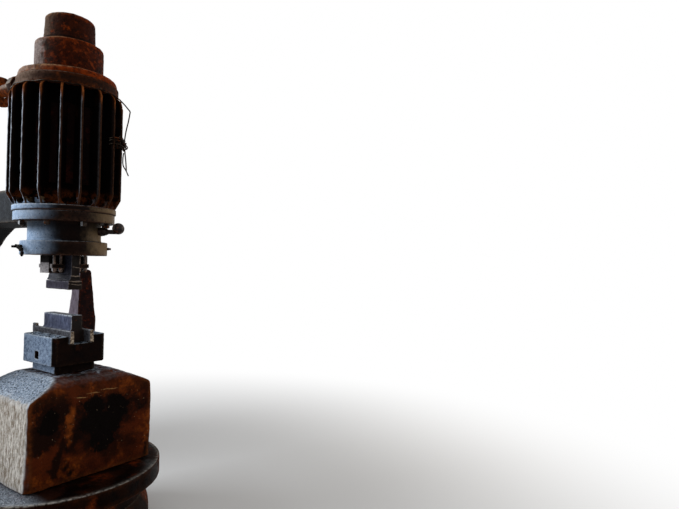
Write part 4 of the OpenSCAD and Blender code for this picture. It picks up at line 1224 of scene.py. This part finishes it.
def makeLink():
    rod, pin = link["rod"], link["pin"]
    lugX, lugY = link["lug"]
    foot = Vector((*link["foot"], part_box("valve_chest")[1].z - link["footDrop"] + rod))
    head = Vector((lugX + link["pinOut"], lugY + 0.007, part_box("cover_plate")[1].z + link["pinHeight"]))
    bm = bmesh.new()
    addRod(bm, foot, head, rod, 20)
    addRods(bm, head, (1, 0, 0), (
        (pin, -link["pinOut"], 0.007, 20, 0.001),
        (pin + 0.0035, -0.006, 0.0045, 24, 0.001),
    ))
    addRods(bm, foot, (0, 0, 1), ((link["boss"], -rod, 0.007, 24, 0.0015),))
    finished("valve_link", bm, "boltSteel", sharp=40)


makeLink()

frameBolts = {
    "x": 0.141, "y": (1.185, 1.3375, 1.490), "flange": 0.032,
    "washer": 0.019, "head": 0.015, "end": 0.0075, "length": 0.018,
}


def makeFrameBolts():
    bm = bmesh.new()
    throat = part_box("frame_column")[1].z
    length = frameBolts["length"]
    for x in (-frameBolts["x"], frameBolts["x"]):
        for y in frameBolts["y"]:
            for way in (1, -1):
                addRods(bm, (x, y, throat + way * frameBolts["flange"]), (0, 0, way), (
                    (frameBolts["washer"], -0.001, 0.003, 32, 0.0008),
                    (frameBolts["head"], 0.002, length - 0.001, 6, 0.0015),
                    (frameBolts["end"], length - 0.002, length, 20, 0.0006),
                ))
    finished("frame_bolts", bm, "boltSteel", sharp=35)


makeFrameBolts()

for node in ("piston", "piston_rod"):
    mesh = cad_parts[node].data
    mesh.materials.clear()
    mesh.materials.append(finishes["rodSteel"])
print("all pieces made")


# Light, world and floor

studio = {
    "target": (0, 0.3, 1.1), "distance": 4.5, "ambient": 0.36,
    "floorSize": 40.0, "floorTone": 0.82, "fadeFrom": 1.3, "fadeTo": 3.6,
}
lights = {
    "window": {"from": (-0.65, 0.6, 0.45), "size": 3.0, "power": 190, "color": (0.90, 0.95, 1.0)},
    "room": {"from": (0.85, -0.5, 0.2), "size": 2.5, "power": 45, "color": (1.0, 0.93, 0.84)},
}


def addLight(name, how):
    data = bpy.data.lights.new(name, "AREA")
    data.shape = "SQUARE"
    data.size = how["size"]
    data.energy = how["power"]
    data.color = how["color"]
    way = Vector(how["from"]).normalized()
    place = Matrix.Translation(Vector(studio["target"]) + way * studio["distance"])
    newObject(name, data).matrix_world = place @ way.to_track_quat("Z", "Y").to_matrix().to_4x4()


for title, how in lights.items():
    addLight(title, how)


def makeWorld():
    # White behind the hammer and in what shines, and dimmer as light on it
    world = bpy.data.worlds.new("studio")
    world.use_nodes = True
    bpy.context.scene.world = world
    tree = world.node_tree
    rays = addNode(tree, "LightPath").outputs
    white = maths(tree, "MAXIMUM", rays["Is Camera Ray"], rays["Is Glossy Ray"])
    white = maths(tree, "MAXIMUM", white, rays["Is Transmission Ray"])
    background = tree.nodes["Background"]
    background.inputs["Color"].default_value = (1, 1, 1, 1)
    tree.links.new(spread(tree, white, studio["ambient"], 1.0), background.inputs["Strength"])


def makeFloor():
    # Pale near the hammer, and white like the world further out
    material = bpy.data.materials.new("paleFloor")
    material.use_nodes = True
    tree = material.node_tree
    shader = tree.nodes["Principled BSDF"]
    tone = studio["floorTone"]
    shader.inputs["Base Color"].default_value = (tone, tone, tone, 1)
    shader.inputs["Roughness"].default_value = 0.9
    shader.inputs["Specular IOR Level"].default_value = 0.1
    glow = addNode(tree, "Emission", {"Color": (1, 1, 1, 1), "Strength": 1.0})
    away = vectorMath(tree, "LENGTH", vectorMath(tree, "MULTIPLY", objectPlace(tree), (1, 1, 0)))
    fade = between(tree, away, studio["fadeFrom"], studio["fadeTo"])
    mask = maths(tree, "MULTIPLY", fade, addNode(tree, "LightPath").outputs["Is Camera Ray"])
    both = addNode(tree, "MixShader", {0: mask, 1: shader.outputs[0], 2: glow.outputs[0]})
    tree.links.new(both.outputs[0], tree.nodes["Material Output"].inputs["Surface"])
    bm = bmesh.new()
    bmesh.ops.create_grid(bm, x_segments=4, y_segments=4, size=studio["floorSize"] / 2)
    mesh = meshFrom(bm, "floor")
    mesh.materials.append(material)
    newObject("floor", mesh)


makeWorld()
makeFloor()
bpy.context.scene.view_settings.view_transform = "Standard"
print("lights and floor made")
